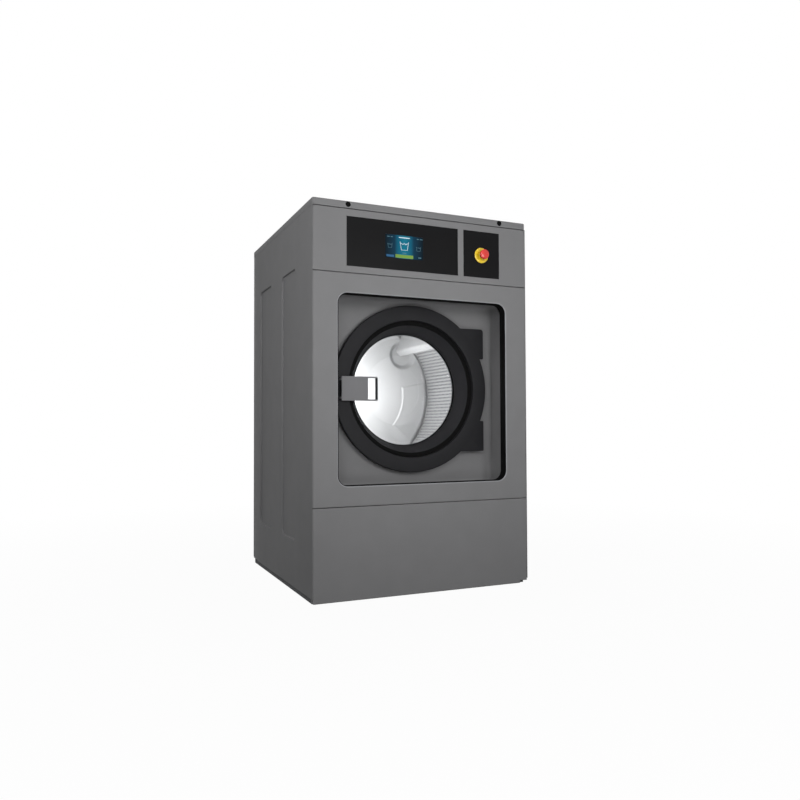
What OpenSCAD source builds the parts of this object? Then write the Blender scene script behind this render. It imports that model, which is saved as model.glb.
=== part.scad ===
// Industrial washing machine: front loader with a round glass door set in a deep square recess.
// The door side faces -Y. The origin is the centre of the footprint, on the floor.

/* [Body] */
// Room between the outer tub and the outer face of each side panel
side_room = 61; // [58:1:99]
// Room between the front of the pulleys and the outer face of the rear panel
pulley_room = 48; // [38:1:128]
// Height of the control fascia, from its lower seam to the lid
fascia_h = 233; // [226:1:300]
// Thickness of the cabinet sheet steel
sheet = 2; // [1.5:0.1:2.5]
// Height of the lid's rim
lid_h = 26; // [22:1:40]
// How far the lid overhangs the rear panel
lid_overhang = 8; // [2:1:15]
// Height of the front panel below the opening
opening_below = 73; // [48:1:83]
// Height of the front panel above the opening
opening_above = 72; // [60:1:85]
// Width of the seams between the front panels
seam_gap = 2; // [1:0.5:4]
// Depth of the front panels' folded edges
fold_depth = 20; // [12:1:24]
// Gap under the kick panel
kick_gap = 3; // [2:1:8]

/* [Side pressings] */
// Distance from the front face to the first pressed field
field_y1 = 212; // [180:1:240]
// Distance from the second pressed field to the rear panel
field_rear = 127; // [87:1:167]
// Length of each pressed field
field_len = 203; // [150:1:240]
// Height at which the pressed fields start
field_z = 195; // [120:1:260]
// Distance from the pressed fields to the top of the side panels
field_top = 183; // [108:1:408]
// Depth of the pressed fields
field_depth = 8; // [3:0.5:12]
// Corner radius of the pressed fields
field_r = 24; // [16:1:40]

/* [Door recess] */
// Width of the opening in the front panel
opening_w = 694; // [690:1:702]
// Height of the opening in the front panel
opening_h = 692; // [686:1:700]
// How far the opening's centre lies below the door's
opening_drop = 12; // [6:1:18]
// Corner radius of the opening
opening_r = 38; // [30:1:50]
// Thickness of the black trim in the opening
trim_t = 3; // [2:0.5:3.5]
// Depth of the black trim
trim_depth = 48; // [30:1:52]
// How much wider the recess is than the opening, on each side
recess_margin = 15; // [12:1:20]
// Depth from the front face to the floor of the recess
recess_depth = 150; // [150:0.5:152]

/* [Door] */
// Outer radius of the door cover
door_r = 323.5; // [321:0.5:324]
// Depth of the door cover's front face behind the front face
door_face_y = 115; // [113.6:0.2:116]
// Radius of the inner edge of the door's flat band
band_r = 258; // [255:0.5:261]
// Radius of the visible glass
glass_r = 216; // [210:1:218]
// Wall thickness of the door cover
cover_t = 3; // [2.4:0.2:3.2]
// Thickness of the door's steel plate
frame_t = 8; // [6:0.5:8]
// Thickness of the door glass
glass_t = 8; // [6:0.5:9]
// Depth of the glass bowl behind its flange
bowl_depth = 105; // [90:1:115]
// Radius of the bowl's flat end
bowl_end_r = 110; // [90:1:130]
// Distance of the hinge axis from the machine's centre
hinge_x = 306; // [305:0.5:307]
// Depth of the hinge axis behind the front face
hinge_y = 126; // [125.5:0.1:126.5]
// Radius of the hinge pins
hinge_pin_r = 4; // [3.5:0.1:4.5]
// Height of each hinge's centre above and below the door's centre
hinge_dz = 185; // [182:1:188]

/* [Door handle] */
// How far the handle's centre lies below the door's
handle_drop = 4; // [-2:1:8]
// Height of the handle plate
handle_h = 91; // [88:1:100]
// Distance of the handle plate's left edge from the machine's centre
handle_left = 301; // [300:0.5:302]
// Length of the handle plate
handle_len = 143; // [130:1:150]
// Depth of the handle plate behind the front face
handle_y = 92; // [90.5:0.1:92.2]
// Thickness of the handle plate
handle_t = 3; // [2:0.1:3.2]
// Width of the window in the handle plate
window_w = 37; // [30:1:42]

/* [Controls] */
// Width of the black control panel
panel_w = 452; // [430:1:456]
// Height of the black panels
panel_h = 180; // [170:1:186]
// Distance of the control panel's left edge from the machine's centre
panel_left = 314; // [312:1:316]
// Height of the black panels' lower edge above the fascia's lower seam
panel_rise = 25; // [22:1:28]
// Thickness of the black panels
panel_t = 2.5; // [2:0.1:3.5]
// Width of the emergency stop's black panel
stop_panel_w = 159; // [150:1:164]
// Width of the strip between the two black panels
panel_gap = 24; // [20:1:28]
// Width of the display
display_w = 154; // [150:1:160]
// Height of the display
display_h = 86; // [82:1:90]
// Centre of the display, from the machine's centre
display_x = -87; // [-95:1:-80]
// Height of the display's centre above the fascia's lower seam
display_rise = 113; // [108:1:118]
// Centre of the emergency stop, from its black panel's left edge
stop_inset = 79; // [74:1:84]
// Height of the emergency stop above the fascia's lower seam
stop_rise = 112; // [108:1:118]
// Diameter of the yellow disc
stop_disc_d = 60; // [56:1:66]
// Diameter of the red mushroom button
stop_cap_d = 38; // [36:1:40]
// How far the button stands out of the front face
stop_reach = 32; // [30:0.5:38]

/* [Drum] */
// Inner radius of the drum
drum_r = 353; // [348:0.5:355]
// Length of the drum
drum_len = 503; // [490:1:505]
// Thickness of the drum sheet
drum_t = 2; // [1.2:0.1:2.4]
// Radius of the drum's mouth
mouth_r = 240; // [230:1:246]
// Number of lifters
lifters = 3; // [3:1:4]
// Height of the lifters
lifter_h = 78; // [60:1:90]
// Width of a lifter at its foot
lifter_w = 96; // [80:1:120]
// Angle of the first lifter above the horizontal
lifter_angle = 45; // [40:1:50]
// Angle that each pressed sector of the drum's back spans
sector_angle = 52; // [40:1:60]
// Inner radius of the pressed sectors
sector_r = 215; // [180:1:250]
// Gap between the drum and the outer tub
tub_gap = 23; // [19:0.5:25]
// Thickness of the outer tub
tub_t = 3; // [2:0.2:4]
// Depth of the outer tub's front plate behind the front face
tub_y = 205; // [204:0.5:206]
// Room between the drum's back and the rear of the outer tub
tub_room = 31; // [28:1:34]
// Height of the sump's floor above the floor
sump_z = 345; // [341:1:349]
// Depth of the sump below the outer tub
sump_depth = 43; // [40:1:46]

/* [Drive] */
// Radius of the drum shaft
shaft_r = 30; // [26:0.5:32]
// Radius of the drum pulley
pulley_r = 180; // [160:1:200]
// Radius of the motor pulley
motor_pulley_r = 34; // [30:0.5:42]
// Width of the pulleys
pulley_w = 24; // [20:1:24]
// Distance of the motor from the machine's centre
motor_x = 170; // [160:1:180]
// Height of the motor's axis
motor_z = 230; // [225:1:240]
// Radius of the motor's body
motor_r = 90; // [80:1:92]
// Length of the motor's body
motor_len = 250; // [230:1:260]
// Radius of the motor's shaft
motor_shaft_r = 14; // [12:0.5:16]

/* [Soap box] */
// Distance of the soap box's left wall from the machine's centre
soap_left = 330; // [320:1:340]
// Width of the soap box
soap_w = 260; // [240:1:270]
// Depth of the soap box behind the front face
soap_y = 130; // [126:1:135]
// Length of the soap box, front to rear
soap_len = 200; // [190:1:210]
// Height of the soap box
soap_h = 178; // [160:1:185]

/* [Connections] */
// Outer radius of the drain outlet
drain_r = 38; // [36:0.5:40]
// Height of the drain outlet
drain_z = 110; // [100:1:120]
// Distance of the drain outlet from the machine's centre
drain_x = -60; // [-70:1:-55]
// How far the rear fittings stand out of the rear panel
rear_reach = 48; // [40:1:60]
// Outer radius of the water inlets' threaded stubs
inlet_r = 13.2; // [12:0.1:14]
// Distance between the water inlets
inlet_pitch = 60; // [55:1:65]
// Number of water inlets
inlets = 3; // [2:1:3]
// Distance of the water inlets below the top
inlet_drop = 91; // [86:1:101]
// Outer radius of the vent stub
vent_r = 25; // [20:0.5:30]
// Distance of the vent stub below the top
vent_drop = 181; // [161:1:201]
// Bore radius of the cable gland
gland_bore_r = 11; // [8:0.5:13]

/* [Fixing] */
// Radius of the floor anchor holes
anchor_r = 7; // [6:0.5:9]
// Distance of the anchor holes from the machine's sides
anchor_inset = 31; // [29:1:33]
// Distance between the anchor holes, front to rear
anchor_d = 700; // [680:1:740]
// Section of the base frame's tubes
base_h = 50; // [45:1:52]

/* [Hidden] */
$fn = 96;
// Gap between fixed curved faces, and around pieces that only lie next to each other
easy = 0.3;
// Radial clearance of a pin or shaft that turns in its bore
running = 0.05;
// Outer tub, and the cabinet's sizes around it
tub_r = drum_r + drum_t + tub_gap;
drum_y = tub_y + 17;
drum_end = drum_y + drum_len;
tub_end = drum_end + tub_room;
door_z = sump_z + sump_depth + tub_r;
housing_r = 75;
bearing_r = 60;
bearing_w = 20;
bearing_y1 = tub_end + 14;
bearing_y2 = bearing_y1 + 50;
housing_end = bearing_y2 + bearing_w + 10;
pulley_y = housing_end + 12;
body_d = pulley_y + pulley_room;
body_w = 2 * (tub_r + tub_t + side_room);
opening_z = door_z - opening_drop;
lower_seam_z = opening_z - opening_h / 2 - opening_below;
upper_seam_z = opening_z + opening_h / 2 + opening_above;
body_h = upper_seam_z + fascia_h + lid_h;
front_y = -(body_d + rear_reach - stop_reach) / 2;
side_x = body_w / 2;
inner_x = side_x - sheet;
front_half = inner_x - 0.5;
lid_z = body_h - lid_h;
panel_top_z = lid_z - seam_gap;
panel_z = upper_seam_z + panel_rise;
display_z = upper_seam_z + display_rise;
stop_z = upper_seam_z + stop_rise;
handle_z = door_z - handle_drop;
field_y2 = body_d - field_rear - field_len;
field_h = panel_top_z - field_top - field_z;
plug_x = [-308, 323];
plug_r = 8.5;
rear_y = body_d - sheet;
post_leg = 30;
post_t = 3;
rail_top = body_h - sheet;
// Height of the walls of the side panels above the floor
side_foot = 20;
recess_x = opening_w / 2 + recess_margin;
recess_bottom = opening_z - opening_h / 2 - recess_margin;
recess_top = opening_z + opening_h / 2 + recess_margin;
plate_y = recess_depth - 16;
plate_back = plate_y + frame_t;
plate_r_in = band_r - 6;
plate_r_out = hinge_x + 6;
seal_r_in = 254;
collar_r = seal_r_in + 3;
collar_t = 3;
pan_hole_r = collar_r + 13;
// Depth of the lip that holds the glass, and of the glass flange's front
lip_y = door_face_y + 75;
glass_y = lip_y + 4.5;
flange_r = glass_r + 16;
gasket_r = flange_r + 4;
clamp_y = glass_y + glass_t + 4;
lug_y = door_face_y;
lug_t = cover_t;
lug_in = hinge_dz - 60;
lug_out = hinge_dz + 61;
lug_x = hinge_x + 7;
knuckle_r = 7;
leaf_half = 20;
knuckle_gap = 0.5;
knuckle_len = 24;
// How far the inner and the outer hinge arms reach in from the hinge axis
arm_reach = [80, 110];
stop_panel_x = -panel_left + panel_w + panel_gap;
stop_x = stop_panel_x + stop_inset;
pivot_x = -handle_left + 5;
pivot_y = handle_y + 12;
pivot_r = 3;
barrel_r = 6.5;
ear_in = 31;
ear_out = 38;
tongue_half = 10;
tongue_x0 = pivot_x - 3;
tongue_x1 = pivot_x + 3;
tongue_end = recess_depth + 22;
bolt_y = tongue_end - 7;
bolt_r = 4;
lock_left = -342;
lock_right = -275;
lock_back = tub_y - 7;
ball_ring_r = (shaft_r + bearing_r) / 2;
ball_r = 4.7;
balls = 14;
hub_r = shaft_r + 18;
motor_y = pulley_y - 32 - motor_len;
motor_end = motor_y + motor_len;
belt_t = 5;
mount_z = motor_z - motor_r - 20;
sump_half = 110;
sump_y0 = tub_y + 125;
sump_y1 = tub_end - 16;
saddle_t = 12;
saddle_y1 = tub_y + 65;
saddle_y2 = motor_y - 35;
valve_len = 70;
drain_y = sump_y1 - 60;
valve_y = drain_y + 80;
drain_bore = drain_r - 3;
soap_right = -soap_left + soap_w;
soap_rear = soap_y + soap_len;
soap_lid_t = 3;
soap_axis_y = soap_rear - 8;
soap_axis_z = body_h - 5.5;
soap_barrel_r = 5.5;
soap_pin_r = 2.5;
spout_r = 22;
spout_x = -120;
spout_y = soap_rear - 40;
soap_bottom = rail_top - sheet - soap_h + 4;
// Front of the inlet valves, where the hoses from the soap box end
inlet_valve_y = body_d - 75;
inlet_z = body_h - inlet_drop;
inlet_x0 = -soap_left + 70;
gland_x = side_x - 117;
gland_z = body_h - 231;
vent_x = 150;
vent_y = drum_end - 80;
vent_z = body_h - vent_drop;
access_half = 250;
access_z0 = 300;
access_drop = 431;
rear_seam_z = access_z0 - 60;
access_z1 = body_h - access_drop;
anchor_y = (body_d - anchor_d) / 2;
anchor_w = 2 * (side_x - anchor_inset);

// Helpers

// A box between two limits on each axis
module span(x, y, z) translate([x[0], y[0], z[0]]) cube([x[1] - x[0], y[1] - y[0], z[1] - z[0]]);

// Depths in this file are measured from the front face
module from_front() translate([0, front_y, 0]) children();

// Both sides of the machine
module both_sides() { children(); mirror([1, 0, 0]) children(); }

// A rod along Y
module rod_y(r, y, x, z) translate([x, y[0], z]) rotate([-90, 0, 0]) cylinder(r = r, h = y[1] - y[0]);

// A rod along Z
module rod_z(r, z, x, y) translate([x, y, z[0]]) cylinder(r = r, h = z[1] - z[0]);

// A rod along X
module rod_x(r, x, y, z) translate([x[0], y, z]) rotate([0, 90, 0]) cylinder(r = r, h = x[1] - x[0]);

// A flat outline in X and Z, given thickness along Y
module thick_y(y) translate([0, y[1], 0]) rotate([90, 0, 0]) linear_extrude(y[1] - y[0]) children();

// A profile of radius and depth, turned about an axis along Y
module turned(x, z) translate([x, 0, z]) rotate([-90, 0, 0]) rotate_extrude($fn = 180) children();

// A ring about the drum's axis
module ring_y(r_in, r_out, y) turned(0, door_z) translate([r_in, y[0]]) square([r_out - r_in, y[1] - y[0]]);

// A rectangle with round corners between two corners
module round_rect(x, z, r) {
    translate([x[0] + r, z[0]]) square([x[1] - x[0] - 2 * r, z[1] - z[0]]);
    translate([x[0], z[0] + r]) square([x[1] - x[0], z[1] - z[0] - 2 * r]);
    for (cx = [x[0] + r, x[1] - r], cz = [z[0] + r, z[1] - r]) translate([cx, cz]) circle(r);
}

// A folded sheet panel with its edges turned back
module folded_panel(z) {
    difference() {
        span([-front_half, front_half], [0, fold_depth], z);
        span([-front_half + sheet, front_half - sheet], [sheet, fold_depth + 1], [z[0] + sheet, z[1] - sheet]);
    }
}

// Cabinet

module base_frame() {
    side = inner_x - 4;
    tube = base_h;
    color("#4d4f52") from_front() {
        difference() {
            union() {
                both_sides() span([side - tube, side], [24, body_d - 6], [0, tube]);
                for (y = [24, saddle_y1 - 20, saddle_y2 - 20, body_d - 6 - tube])
                    span([-side + tube, side - tube], [y, y + tube], [0, tube]);
            }
            both_sides() span([side - tube + 3, side - 3], [27, body_d - 9], [3, tube - 3]);
            for (y = [24, saddle_y1 - 20, saddle_y2 - 20, body_d - 6 - tube])
                span([-side + 3, side - 3], [y + 3, y + tube - 3], [3, tube - 3]);
            for (x = [-anchor_w / 2, anchor_w / 2], y = [anchor_y, anchor_y + anchor_d]) {
                rod_z(anchor_r, [-1, 4], x, y);
                rod_z(anchor_r + 8, [4, tube + 1], x, y);
            }
        }
    }
}

module cabinet_frame() {
    leg = [inner_x - 0.5 - post_leg, inner_x - 0.5];
    color("#5c5e60") from_front() {
        both_sides() {
            // Corner posts
            span(leg, [fold_depth + sheet, fold_depth + sheet + post_t], [base_h, rail_top]);
            span([leg[1] - post_t, leg[1]], [fold_depth + sheet, 52], [base_h, rail_top]);
            span(leg, [rear_y - sheet - post_t, rear_y - sheet], [base_h, rail_top]);
            span([leg[1] - post_t, leg[1]], [rear_y - 34, rear_y - sheet], [base_h, rail_top]);
            // Top side rails
            span([leg[1] - post_t, leg[1]], [52, rear_y - 34], [rail_top - post_leg, rail_top]);
            span([leg[0], leg[1] - post_t], [fold_depth + sheet + post_t, rear_y - sheet - post_t],
                 [rail_top - post_t, rail_top]);
            // Arms that hold the door recess
            for (z = [recess_bottom + 90, recess_top - 90])
                span([recess_x + 2 + easy, leg[1] - post_t], [56, 60], [z, z + 60]);
            span([leg[0], leg[1] - post_t], [fold_depth + sheet + post_t, 60], [recess_bottom + 90, recess_bottom + 93]);
            span([leg[0], leg[1] - post_t], [fold_depth + sheet + post_t, 60], [recess_top - 33, recess_top - 30]);
        }
        // Top front and rear rails
        span([-leg[0], leg[0]], [fold_depth + sheet, fold_depth + sheet + post_t], [rail_top - post_leg, rail_top]);
        span([-leg[0], leg[0]], [rear_y - sheet - post_t, rear_y - sheet], [rail_top - post_leg, rail_top]);
    }
}

module side_panel() {
    fields = [[field_y1, field_y1 + field_len], [field_y2, field_y2 + field_len]];
    difference() {
        union() {
            span([inner_x, side_x], [0, body_d], [side_foot, panel_top_z]);
            // Pressed fields
            for (f = fields)
                translate([side_x, 0, 0]) rotate([0, 0, 90]) thick_y([0, field_depth + sheet])
                    round_rect([f[0] - sheet, f[1] + sheet], [field_z - sheet, field_z + field_h + sheet], field_r + sheet);
            // Folded edges at the front and the rear
            span([inner_x - post_leg, inner_x], [fold_depth, fold_depth + sheet], [side_foot, panel_top_z]);
            span([inner_x - post_leg, inner_x], [rear_y - sheet, rear_y], [side_foot, panel_top_z]);
        }
        for (f = fields)
            translate([side_x + 1, 0, 0]) rotate([0, 0, 90]) thick_y([0, field_depth + 1])
                round_rect(f, [field_z, field_z + field_h], field_r);
        // The lower rear corner is cut away
        translate([inner_x - 1, body_d + 1, -1]) rotate([90, 0, 90]) linear_extrude(sheet + 2)
            polygon([[0, 0], [0, side_foot + 9], [-74, side_foot + 1], [-74, 0]]);
    }
}

module side_panel_right() color("#6b6b6c") from_front() side_panel();

module side_panel_left() color("#6b6b6c") from_front() mirror([1, 0, 0]) side_panel();

module top_lid() {
    color("#87888a") from_front() difference() {
        span([-side_x, side_x], [0, body_d + lid_overhang], [lid_z, body_h]);
        span([-inner_x, inner_x], [sheet, body_d + lid_overhang - sheet], [lid_z - 1, body_h - sheet]);
        span([-soap_left + 2, soap_right - 2], [soap_y + 2, soap_rear], [lid_z, body_h + 1]);
        for (x = plug_x) rod_y(plug_r, [-1, sheet + 1], x, lid_z + 14);
    }
}

module lid_plugs() {
    color("#1b1b1c") from_front() for (x = plug_x) {
        rod_y(plug_r - easy, [-1, sheet + 3], x, lid_z + 14);
        rod_y(plug_r + 1.5, [-2, 0], x, lid_z + 14);
    }
}

module front_panel() {
    color("#737476") from_front() difference() {
        folded_panel([lower_seam_z + seam_gap / 2, upper_seam_z - seam_gap / 2]);
        thick_y([-1, sheet + 1]) opening_outline(0);
    }
}

// The door opening's outline, smaller by an inset
module opening_outline(inset) {
    half = opening_w / 2 - inset;
    round_rect([-half, half], [opening_z - opening_h / 2 + inset, opening_z + opening_h / 2 - inset],
               opening_r - inset);
}

module opening_trim() {
    color("#141414") from_front() difference() {
        union() {
            thick_y([0.6, trim_depth]) opening_outline(easy);
            thick_y([trim_depth - 2, trim_depth])
                round_rect([-recess_x - 4, recess_x + 4], [recess_bottom - 4, recess_top + 4], 20);
        }
        thick_y([-1, trim_depth + 1]) opening_outline(trim_t);
    }
}

module door_recess_pan() {
    wall = 2;
    slot_z = [handle_z - tongue_half - 3, handle_z + tongue_half + 3];
    color("#5a5b5c") from_front() difference() {
        thick_y([trim_depth, recess_depth + wall])
            round_rect([-recess_x - wall, recess_x + wall], [recess_bottom - wall, recess_top + wall], 12);
        thick_y([trim_depth - 1, recess_depth])
            round_rect([-recess_x, recess_x], [recess_bottom, recess_top], 10);
        rod_y(pan_hole_r, [recess_depth - 1, recess_depth + wall + 1], 0, door_z);
        span([tongue_x0 - 6, tongue_x1 + 17], [recess_depth - 1, recess_depth + wall + 1], slot_z);
    }
}

module control_fascia() {
    color("#7d7e80") from_front() difference() {
        folded_panel([upper_seam_z + seam_gap / 2, panel_top_z]);
        span([-panel_left, -panel_left + panel_w], [-1, sheet + 1], [panel_z, panel_z + panel_h]);
        span([stop_panel_x, stop_panel_x + stop_panel_w], [-1, sheet + 1], [panel_z, panel_z + panel_h]);
    }
}

module kick_panel() {
    color("#68696b") from_front() difference() {
        folded_panel([kick_gap, lower_seam_z - seam_gap / 2]);
        // Hand notch at the lower right corner
        span([front_half - 32, front_half + 1], [-1, fold_depth + 1], [kick_gap - 1, kick_gap + 9]);
    }
}

module control_panel() {
    color("#1e1e20") from_front() difference() {
        span([-panel_left + easy, -panel_left + panel_w - easy], [0.4, 0.4 + panel_t],
             [panel_z + easy, panel_z + panel_h - easy]);
        span([display_x - display_w / 2, display_x + display_w / 2], [-1, 0.4 + panel_t + 1],
             [display_z - display_h / 2, display_z + display_h / 2]);
    }
}

module display() {
    half_w = display_w / 2 - easy;
    half_h = display_h / 2 - easy;
    color("#0d3b52") from_front()
        span([display_x - half_w, display_x + half_w], [0.7, 0.4 + panel_t],
             [display_z - half_h, display_z + half_h]);
}

module controller_box() {
    back = 92;
    box_x = [-panel_left + 12, -panel_left + panel_w - 12];
    box_z = [panel_z + 8, panel_z + panel_h - 8];
    color("#9fa3a6") from_front() difference() {
        span(box_x, [0.4 + panel_t, back], box_z);
        span([box_x[0] + 2, box_x[1] - 2], [0.4 + panel_t + 2, back - 2], [box_z[0] + 2, box_z[1] - 2]);
    }
}

module stop_panel() {
    color("#1e1e20") from_front() difference() {
        span([stop_panel_x + easy, stop_panel_x + stop_panel_w - easy], [0.4, 0.4 + panel_t],
             [panel_z + easy, panel_z + panel_h - easy]);
        rod_y(11, [-1, 0.4 + panel_t + 1], stop_x, stop_z);
    }
}

module stop_disc() {
    disc_r = stop_disc_d / 2;
    color("#d8b928") from_front() turned(stop_x, stop_z) {
        difference() {
            union() {
                translate([5 + running, -2.6]) square([disc_r - 2 - 5 - running, 3]);
                translate([disc_r - 2.6, -1.2]) circle(2.6 - easy);
                translate([5 + running, -8]) square([9 - running, 8]);
            }
            translate([0, 0.4]) square([disc_r + 2, 4]);
        }
    }
}

module stop_contact_block() {
    back = 0.4 + panel_t;
    color("#3b3d40") from_front() {
        difference() {
            span([stop_x - 20, stop_x + 20], [back, back + 55], [stop_z - 25, stop_z + 25]);
            rod_y(9, [back - 1, back + 45], stop_x, stop_z);
        }
        // Guide sleeve through the panel
        turned(stop_x, stop_z) translate([5 + running, 0.4]) square([5.7 - running, back + 20]);
    }
}

module stop_plunger() {
    color("#8d9093") from_front() {
        rod_y(5, [-stop_reach + 6, 30], stop_x, stop_z);
        rod_y(8, [0.4 + panel_t + 21, 0.4 + panel_t + 25], stop_x, stop_z);
    }
}

module stop_cap() {
    cap_r = stop_cap_d / 2;
    neck = 18;
    color("#c5322e") from_front() turned(stop_x, stop_z) difference() {
        union() {
            translate([0, -stop_reach]) square([cap_r - 5, neck]);
            translate([0, -stop_reach + 5]) square([cap_r, neck - 9]);
            translate([cap_r - 5, -stop_reach + 5]) circle(5);
            translate([cap_r - 4, -stop_reach + neck - 4]) circle(4);
            translate([0, -stop_reach + neck - 5]) square([cap_r - 4, 5]);
        }
        translate([-cap_r, -stop_reach - 6]) square([cap_r, 40]);
        // Blind bore for the plunger
        translate([0, -stop_reach + 6 - easy]) square([5 + running, 40]);
    }
}

module rear_panel() {
    color("#77787a") from_front() difference() {
        span([-front_half, front_half], [rear_y, body_d], [side_foot, panel_top_z]);
        // Seam between the lower and the upper sheet
        span([-front_half - 1, front_half + 1], [rear_y - 1, body_d + 1], [rear_seam_z, rear_seam_z + 1]);
        span([-access_half + 12, access_half - 12], [rear_y - 1, body_d + 1], [access_z0 + 12, access_z1 - 12]);
        rod_y(drain_r + 1, [rear_y - 1, body_d + 1], drain_x, drain_z);
        rod_y(vent_r + 1, [rear_y - 1, body_d + 1], vent_x, vent_z);
        rod_y(14, [rear_y - 1, body_d + 1], gland_x, gland_z);
        for (i = [0 : inlets - 1])
            rod_y(inlet_r + 1, [rear_y - 1, body_d + 1], inlet_x0 + i * inlet_pitch, inlet_z);
    }
}

module rear_access_cover() {
    slots = 8;
    color("#7b7c7e") from_front() difference() {
        span([-access_half, access_half], [body_d, body_d + 1.5], [access_z0, access_z1]);
        for (i = [0 : slots - 1], x = [-140, 20])
            span([x, x + 120], [body_d - 1, body_d + 3], [access_z0 + 60 + i * 14, access_z0 + 65 + i * 14]);
    }
}

module case_screws() {
    color("#b9bcc0") from_front() {
        for (x = [-access_half + 6, access_half - 6], z = [access_z0 + 30, (access_z0 + access_z1) / 2, access_z1 - 30])
            screw_head(x, body_d + 1.5, z);
        both_sides() for (i = [0 : 4])
            screw_head(inner_x - 16, body_d, 60 + i * (panel_top_z - 90) / 4);
    }
}

// A flat round screw head on the rear
module screw_head(x, y, z) difference() {
    rod_y(5, [y, y + 2.4], x, z);
    span([x - 0.6, x + 0.6], [y + 1.4, y + 3], [z - 4, z + 4]);
}

// Door

// The door cover's section: a flat band, a crest and a two-stage funnel down to the glass
module cover_section() {
    front = door_face_y;
    wall = cover_t;
    polygon([
        [door_r - 6, front], [band_r + 6, front], [band_r + 3, front - 2], [band_r - 1, front - 1.5],
        [band_r - 5, front + 3], [band_r - 14, front + 25], [glass_r + 5, lip_y - 1], [glass_r, lip_y - 1],
        [glass_r, lip_y + 1], [glass_r + 8, lip_y + 1], [band_r - 10, front + 27], [band_r - 1, front + 4],
        [band_r + 3, front + wall], [door_r - wall, front + wall], [door_r - wall, plate_y],
        [door_r, plate_y], [door_r, front + 6]]);
    translate([door_r - 6, front + 6]) intersection() { circle(6); translate([0, -7]) square(7); }
}

// The hinge lugs' outline beside the ring
module lug_outline() {
    for (side = [1, -1]) intersection() {
        round_rect([hinge_x - 130, lug_x], side > 0 ? [door_z + lug_in, door_z + lug_out] :
                   [door_z - lug_out, door_z - lug_in], 12);
        translate([hinge_x - 130, door_z - 300]) square([400, 600]);
    }
}

module door_cover() {
    color("#262627") from_front() difference() {
        union() {
            turned(0, door_z) cover_section();
            difference() {
                thick_y([lug_y, lug_y + lug_t]) lug_outline();
                rod_y(door_r - 7, [lug_y - 1, lug_y + lug_t + 1], 0, door_z);
            }
        }
        // Room for the hinge arms
        for (side = [1, -1], outer = [0, 1]) {
            z0 = side * (outer ? hinge_dz : lug_in + 8);
            z1 = side * (outer ? lug_out - 8 : hinge_dz);
            span([hinge_x - arm_reach[outer] - 2, hinge_x + 30], [lug_y + lug_t, plate_y + 1],
                 [door_z + min(z0, z1), door_z + max(z0, z1)]);
        }
        // Slots for the handle's ears and tongue
        span([pivot_x - 8, pivot_x + 9], [door_face_y - 4, plate_y], [handle_z - ear_out - 1, handle_z + ear_out + 1]);
    }
}

module door_frame() {
    cone_r = plate_r_in;
    arm_in = leaf_half + knuckle_gap;
    color("#8e9296") from_front() difference() {
        union() {
            // Plate, cone and glass seat
            turned(0, door_z) polygon([
                [plate_r_in, plate_y], [plate_r_out, plate_y], [plate_r_out, plate_back], [cone_r, plate_back],
                [cone_r - 11, lip_y], [cone_r - 11, clamp_y], [gasket_r + easy, clamp_y],
                [gasket_r + easy, plate_back + 28], [plate_r_in - 4, plate_back]]);
            // Hinge arms with their knuckles; the outer ones reach further in to the plate
            for (side = [1, -1], outer = [0, 1]) {
                z0 = side * (hinge_dz + (outer ? arm_in : -arm_in - knuckle_len));
                z1 = z0 + side * knuckle_len;
                z = [door_z + min(z0, z1), door_z + max(z0, z1)];
                span([hinge_x - arm_reach[outer], hinge_x], [hinge_y - knuckle_r, plate_y + 1], z);
                rod_z(knuckle_r, z, hinge_x, hinge_y);
            }
            // Ears for the handle's pin
            for (z = [handle_z + ear_in, handle_z - ear_out]) {
                rod_z(barrel_r, [z, z + ear_out - ear_in], pivot_x, pivot_y);
                span([pivot_x - barrel_r, pivot_x + barrel_r], [pivot_y, plate_y], [z, z + ear_out - ear_in]);
            }
        }
        for (side = [1, -1])
            rod_z(hinge_pin_r + running, [door_z + side * hinge_dz - 60, door_z + side * hinge_dz + 60], hinge_x, hinge_y);
        rod_z(pivot_r + running, [handle_z - 50, handle_z + 50], pivot_x, pivot_y);
        // Slot for the handle's tongue
        span([tongue_x0 - 3, tongue_x1 + 11], [plate_y - 1, plate_back + 1],
             [handle_z - tongue_half - 2, handle_z + tongue_half + 2]);
    }
}

module door_glass() {
    bowl_r = glass_r - 8;
    back = glass_y + bowl_depth;
    corner = 30;
    color("#c9d6da", 0.35) from_front() turned(0, door_z) difference() {
        union() {
            translate([bowl_r - glass_t - 6, glass_y]) square([flange_r - bowl_r + glass_t + 6, glass_t]);
            polygon([[0, glass_y], [bowl_r, glass_y], [bowl_r, glass_y + glass_t],
                     [bowl_end_r + corner, back - 12], [bowl_end_r, back], [0, back]]);
        }
        polygon([[-1, glass_y - 1], [bowl_r - glass_t, glass_y - 1], [bowl_r - glass_t - 1, glass_y + 6],
                 [bowl_end_r + corner - glass_t, back - 18], [bowl_end_r, back - glass_t], [-1, back - glass_t]]);
    }
}

module glass_gasket() {
    color("#1a1a1a") from_front() turned(0, door_z) difference() {
        translate([glass_r - 2, lip_y + 1]) square([gasket_r - glass_r + 2, clamp_y - lip_y - 1]);
        translate([glass_r - 3, glass_y]) square([flange_r + easy - glass_r + 3, glass_t]);
    }
}

module glass_clamp() {
    bolts = 12;
    color("#b4b8bb") from_front() {
        ring_y(glass_r + 2, plate_r_in - 11, [clamp_y, clamp_y + 3]);
        for (i = [0 : bolts - 1])
            rod_y(3, [clamp_y + 2, clamp_y + 5], (gasket_r - 5) * cos(i * 30 + 15),
                  door_z + (gasket_r - 5) * sin(i * 30 + 15));
    }
}

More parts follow.
